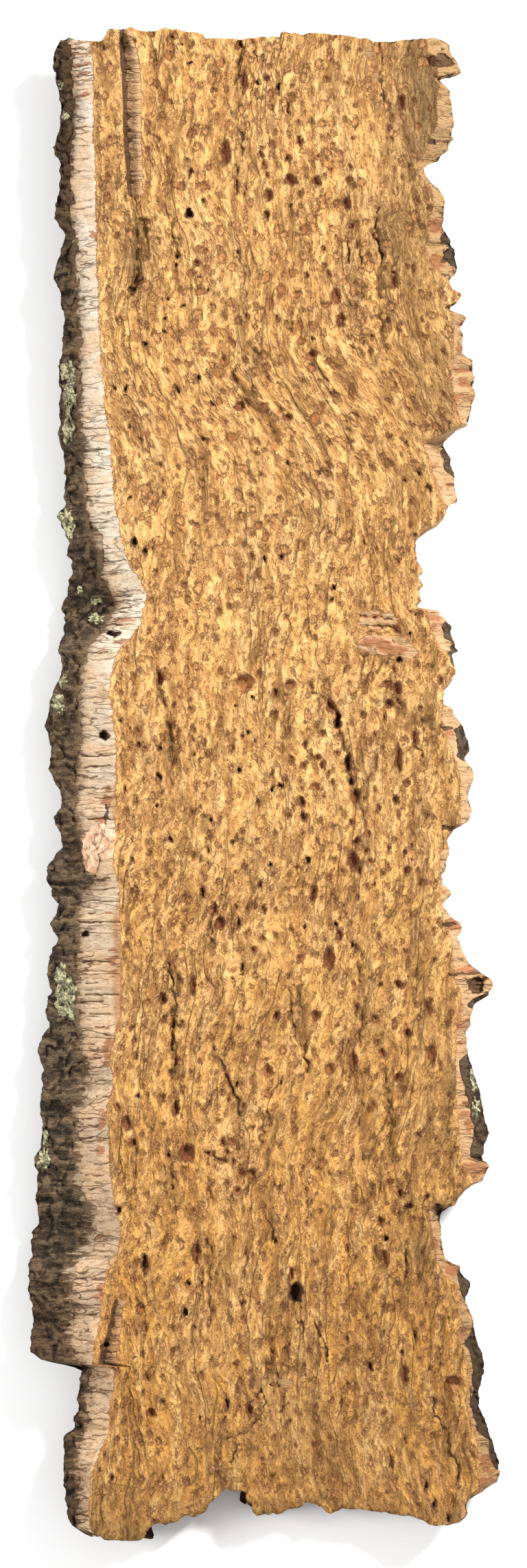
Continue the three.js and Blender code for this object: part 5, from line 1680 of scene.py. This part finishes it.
def bark_material(finish):
    """Dark weathered bark with grey plates and brown fissures, with a painted highlight on its ridges,
    painted shade in its fissures and painted shade towards both ends.
    """
    material, tree, shader = new_material("outer_bark")
    ridge = attribute(tree, "ridge")
    tint = attribute(tree, "tint")
    foot = attribute(tree, "foot")
    edge = edge_marks(tree, foot)
    place = edge["place"]
    streak = edge["streak"]
    middle = noise(tree, stretched(tree, place, 0.6, 1.0, 1.0), 150.0, 4.0, 0.7, 0.4, flat=False)
    fine = noise(tree, place, 800.0, 2.0, 0.7, flat=False)
    grains = add_node(tree, "ShaderNodeTexVoronoi", {"Vector": place, "Scale": 420.0}).outputs["Distance"]
    colour = blended(tree, stepped(tree, middle, 0.42, 0.72), (*finish.bark, 1.0), rgb(106, 84, 60))
    colour = coated(tree, colour, [
        (stepped(tree, tint, 0.0, 1.0), 0.6, rgb(92, 68, 46)),
        # Painted highlight on the ridges and painted shade in the fissures
        (stepped(tree, ridge, 0.1, 1.1), 0.5, rgb(138, 114, 86)),
        (stepped(tree, ridge, 0.0, -1.4), 0.7, rgb(30, 21, 14)),
        (stepped(tree, streak, 0.54, 0.7), 0.4, rgb(140, 118, 92)),
        (stepped(tree, grains, 0.3, 0.05), 0.4, rgb(140, 120, 92)),
        (stepped(tree, fine, 0.54, 0.75), 0.5, rgb(150, 130, 102)),
    ])

    # Browner past the torn edge, webbed with dark lines, greyer and then paler next to the cut face
    past_tear = stepped(tree, parts_of(tree, place)["X"], 0.09, 0.11)
    web = line_at_zero(tree, worked(tree, "SUBTRACT", streak, 0.47), 0.0, 0.04)
    near = stepped(tree, foot, 30.0, 14.0)
    greyer = worked(tree, "MULTIPLY", stepped(tree, edge["foot"], -14.0, 2.0), near)
    paler = worked(tree, "MULTIPLY", stepped(tree, edge["foot"], 0.0, 14.0), near)
    colour = coated(tree, colour, [
        (past_tear, 0.5, rgb(64, 44, 30)),
        (web, 0.7, rgb(30, 21, 14)),
        (greyer, 0.5, rgb(136, 106, 76)),
        (paler, 0.8, rgb(210, 184, 154)),
    ])
    # Painted shade, darker towards both ends
    near_end = stepped(tree, worked(tree, "ABSOLUTE", edge["level"]), 0.26, 0.42)
    colour = blended(tree, near_end, colour, (0.62, 0.56, 0.5, 1.0), "MULTIPLY")
    shader.inputs["Specular IOR Level"].default_value = 0.2
    roughness = worked(tree, "MULTIPLY_ADD", fine, 0.15, 0.8)
    height = weighed(tree, [(fine, 0.3), (middle, 1.0), (streak, 0.5)])
    finish_shader(tree, shader, colour, roughness, height, 1.0, 0.004)
    return material


def lichen_material(finish):
    """Pale green granular crust."""
    material, tree, shader = new_material("lichen")
    place = add_node(tree, "ShaderNodeTexCoord").outputs["Object"]
    middle = noise(tree, place, 300.0, 3.0, 0.7, 0.8, flat=False)
    fine = noise(tree, place, 1000.0, 2.0, 0.7, flat=False)
    colour = blended(tree, attribute(tree, "pale"), (*finish.lichen, 1.0), rgb(214, 210, 160))
    colour = coated(tree, colour, [
        (stepped(tree, middle, 0.56, 0.44), 0.9, rgb(74, 66, 48)),
        (stepped(tree, fine, 0.52, 0.72), 0.4, rgb(206, 202, 164)),
    ])
    finish_shader(tree, shader, colour, 0.9, middle, 0.8, 0.0012)
    return material


def flake_material():
    """Peach skin of a torn flake, with darker lines."""
    material, tree, shader = new_material("flake")
    place = add_node(tree, "ShaderNodeTexCoord").outputs["Object"]
    middle = noise(tree, place, 160.0, 3.0, 0.65, 0.5, flat=False)
    fine = noise(tree, place, 900.0, 2.0, 0.7, flat=False)
    folds = placed(tree, crease_group(), Vector=place, Scale=110.0, Width=0.07, Warp=0.6)
    colour = blended(tree, stepped(tree, middle, 0.35, 0.7), rgb(244, 212, 178), rgb(220, 164, 120))
    colour = coated(tree, colour, [
        (stepped(tree, fine, 0.5, 0.75), 0.4, rgb(178, 124, 86)),
        (folds["Creases"], 0.8, rgb(104, 58, 34)),
    ])
    finish_shader(tree, shader, colour, 0.8, middle, 0.6, 0.0012)
    return material


DRAWN = {}


def maps_for(context):
    if not DRAWN:
        DRAWN.update(draw_maps(context.scene.cork_shape))
    return DRAWN


class CORK_OT_slab(bpy.types.Operator):
    """Builds the cork with its pitted inner face and its pale cut and torn edges."""

    bl_idname = "cork.slab"
    bl_label = "Cork slab"

    def execute(self, context):
        maps = maps_for(context)
        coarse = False
        columns = [cork_left, left_arris, strip_lip, split_floor, slab_lip, right_arris, cork_right]
        counts = [12, 10, 4, 6, 110, 10] if coarse else [32, 22, 8, 14, 300, 26]
        rows = 420 if coarse else 1100
        mesh = closed_sheet("cork_slab", columns, counts, rows, 6, maps["height"], maps["cork_under"], 1.5)
        piece = add_object("cork_slab", mesh)
        if not coarse:
            thin_out(piece, CORK_TRIANGLES)
        mesh = piece.data
        x, y, z = photo_places(mesh)
        below = np.clip(read_map(maps["height"], x, y) - z, -1, 40)
        wall = smooth((below - 0.6) / 0.8)
        on_wall = {"face": -FACE_REACH, "pit": FAR_OUTSIDE, "crack_and_shade": FAR_OUTSIDE, "stain_and_shade": 0}
        for name, value in on_wall.items():
            store(mesh, name, lerp(read_map(maps[name], x, y), value, wall))
        for name in ("tone", "rust", "ridge", "tint"):
            store(mesh, name, read_map(maps[name], x, y))
        store(mesh, "foot", np.clip(x - dark_line(y), *FOOT_REACH))
        grain = [read_map(maps["grain_x"], x, y) * PIXEL, -read_map(maps["grain_y"], x, y) * PIXEL, z]
        store_vector(mesh, "grain", np.stack(grain, axis=1) * MM)
        dress(mesh, cork_material(context.scene.cork_finish))
        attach(piece, "root")
        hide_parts("cork_bark")
        return {"FINISHED"}


class CORK_OT_outer_bark(bpy.types.Operator):
    """Builds the dark outer bark, which shows at the left edge, past the torn edge and on the outer side."""

    bl_idname = "cork.outer_bark"
    bl_label = "Outer bark"

    def execute(self, context):
        maps = maps_for(context)
        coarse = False

        def bark_left(y):
            return left_edge(y) + ragged(y, 9)

        def bark_lap(y):
            return bark_boundary(y) + 12

        def bark_inner_right(y):
            return cork_right(y) - 12

        def bark_right(y):
            return right_edge(y) + ragged(y, 5) - 0.8

        columns = [bark_left, bark_boundary, bark_lap, bark_inner_right, bark_right]
        counts = [10, 4, 70, 8] if coarse else [28, 9, 190, 16]
        rows = 300 if coarse else 900
        mesh = closed_sheet("outer_bark", columns, counts, rows, 5, maps["crust"], maps["back"], 2.0)
        piece = add_object("outer_bark", mesh)
        if not coarse:
            thin_out(piece, BARK_TRIANGLES)
        mesh = piece.data
        x, y, z = photo_places(mesh)
        above = z > read_map(maps["crust"], x, y) - 1.5
        ridge_above = read_map(maps["crust_ridge"], x, y)
        store(mesh, "ridge", np.where(above, ridge_above, read_map(maps["bark_ridge"], x, y)))
        store(mesh, "tint", read_map(maps["tint"], x, y))
        store(mesh, "foot", np.clip(x - dark_line(y), *FOOT_REACH))
        dress(mesh, bark_material(context.scene.cork_finish))
        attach(piece, "root")
        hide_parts("cork_bark")
        return {"FINISHED"}


class CORK_OT_lichen(bpy.types.Operator):
    """Grows the crusts of lichen on the outer bark."""

    bl_idname = "cork.lichen"
    bl_label = "Lichen"

    def execute(self, context):
        maps = maps_for(context)
        outlines = []
        for x, y, width, length, pale in LICHENS:
            turns = [i / 26 * 2 * math.pi for i in range(26)]
            swell = [0.55 + 0.6 * float(scatter(i + x, y)) for i in range(26)]
            outlines.append([
                (x + width / 2 * s * math.cos(a), y + length / 2 * s * math.sin(a))
                for a, s in zip(turns, swell)
            ])
        level = 5
        mesh = drawn_crusts("lichen", outlines, maps["crust"], level, 1.2, 1.2)
        pale = np.repeat([row[4] for row in LICHENS], len(mesh.vertices) // len(LICHENS))
        store(mesh, "pale", pale)
        dress(mesh, lichen_material(context.scene.cork_finish))
        piece = add_object("lichen", mesh)
        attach(piece, "root")
        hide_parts("cork_bark")
        return {"FINISHED"}


class CORK_OT_flakes(bpy.types.Operator):
    """Lays the torn flake on the cut face."""

    bl_idname = "cork.flakes"
    bl_label = "Torn flake"

    def execute(self, context):
        maps = maps_for(context)
        level = 5
        mesh = drawn_crusts("flakes", FLAKES, maps["height"], level, 2.6, 1.3)
        dress(mesh, flake_material())
        piece = add_object("flakes", mesh)
        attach(piece, "root")
        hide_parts("cork_bark")
        return {"FINISHED"}


class CORK_OT_stage(bpy.types.Operator):
    """Sets the floor, the soft studio light and the camera straight above the slab."""

    bl_idname = "cork.stage"
    bl_label = "Stage"

    def execute(self, context):
        settings = context.scene.cork_stage
        bm = bmesh.new()
        bmesh.ops.create_grid(bm, x_segments=1, y_segments=1, size=20)
        mesh = mesh_from(bm, "floor")
        floor = add_object("floor", mesh)
        material, tree, shader = new_material("pale_floor")
        shade = settings.floor_shade
        shader.inputs["Base Color"].default_value = (shade, shade, shade, 1)
        shader.inputs["Roughness"].default_value = 0.9
        mesh.materials.append(material)

        world = context.scene.world or bpy.data.worlds.new("studio")
        context.scene.world = world
        world.use_nodes = True
        background = world.node_tree.nodes["Background"]
        background.inputs["Color"].default_value = (1, 1, 1, 1)
        background.inputs["Strength"].default_value = settings.fill_strength

        lamps = [
            ("key", settings.key_power, 1.0, (2.7, 2.5, 3.0)),
            ("side", settings.side_power, 1.6, (-3.2, -0.3, 2.3)),
        ]
        for name, power, size, place in lamps:
            lamp = bpy.data.lights.new(name, "AREA")
            lamp.size = size
            lamp.energy = power
            lamp_object = bpy.data.objects.new(name, lamp)
            lamp_object.location = place
            lamp_object.rotation_mode = "QUATERNION"
            lamp_object.rotation_quaternion = Vector(place).to_track_quat("Z", "Y")
            context.scene.collection.objects.link(lamp_object)

        view = bpy.data.cameras.new("camera")
        view.sensor_width = 36
        distance = settings.camera_distance
        focus_height = 0.03
        half_frame = FRAME_HEIGHT / 2 * PIXEL * MM
        view.lens = view.sensor_width / 2 * (distance - focus_height) / half_frame
        view.clip_end = 50
        camera = bpy.data.objects.new("camera", view)
        camera.location = ((FRAME_WIDTH / 2 - PHOTO_MIDDLE_X) * PIXEL * MM, 0, distance)
        context.scene.collection.objects.link(camera)
        context.scene.camera = camera
        context.scene.view_settings.view_transform = "Standard"
        return {"FINISHED"}


class CORK_PT_panel(bpy.types.Panel):
    """Lists the pieces of the cork bark in the sidebar."""

    bl_label = "Cork bark"
    bl_idname = "CORK_PT_panel"
    bl_space_type = "VIEW_3D"
    bl_region_type = "UI"
    bl_category = "Cork bark"

    def draw(self, context):
        for settings in (context.scene.cork_shape, context.scene.cork_finish, context.scene.cork_stage):
            box = self.layout.box()
            for name in settings.__annotations__:
                box.prop(settings, name)
        for operator in OPERATORS:
            self.layout.operator(operator.bl_idname)


OPERATORS = (CORK_OT_slab, CORK_OT_outer_bark, CORK_OT_lichen, CORK_OT_flakes, CORK_OT_stage)
CLASSES = (CorkShape, CorkFinish, CorkStage, *OPERATORS, CORK_PT_panel)


def register():
    for kind in CLASSES:
        bpy.utils.register_class(kind)
    bpy.types.Scene.cork_shape = PointerProperty(type=CorkShape)
    bpy.types.Scene.cork_finish = PointerProperty(type=CorkFinish)
    bpy.types.Scene.cork_stage = PointerProperty(type=CorkStage)


def unregister():
    del bpy.types.Scene.cork_shape
    del bpy.types.Scene.cork_finish
    del bpy.types.Scene.cork_stage
    for kind in reversed(CLASSES):
        bpy.utils.unregister_class(kind)


def main():
    register()
    bpy.ops.cork.stage()
    bpy.ops.cork.slab()
    bpy.ops.cork.outer_bark()
    bpy.ops.cork.lichen()
    bpy.ops.cork.flakes()


if __name__ == "__main__":
    main()
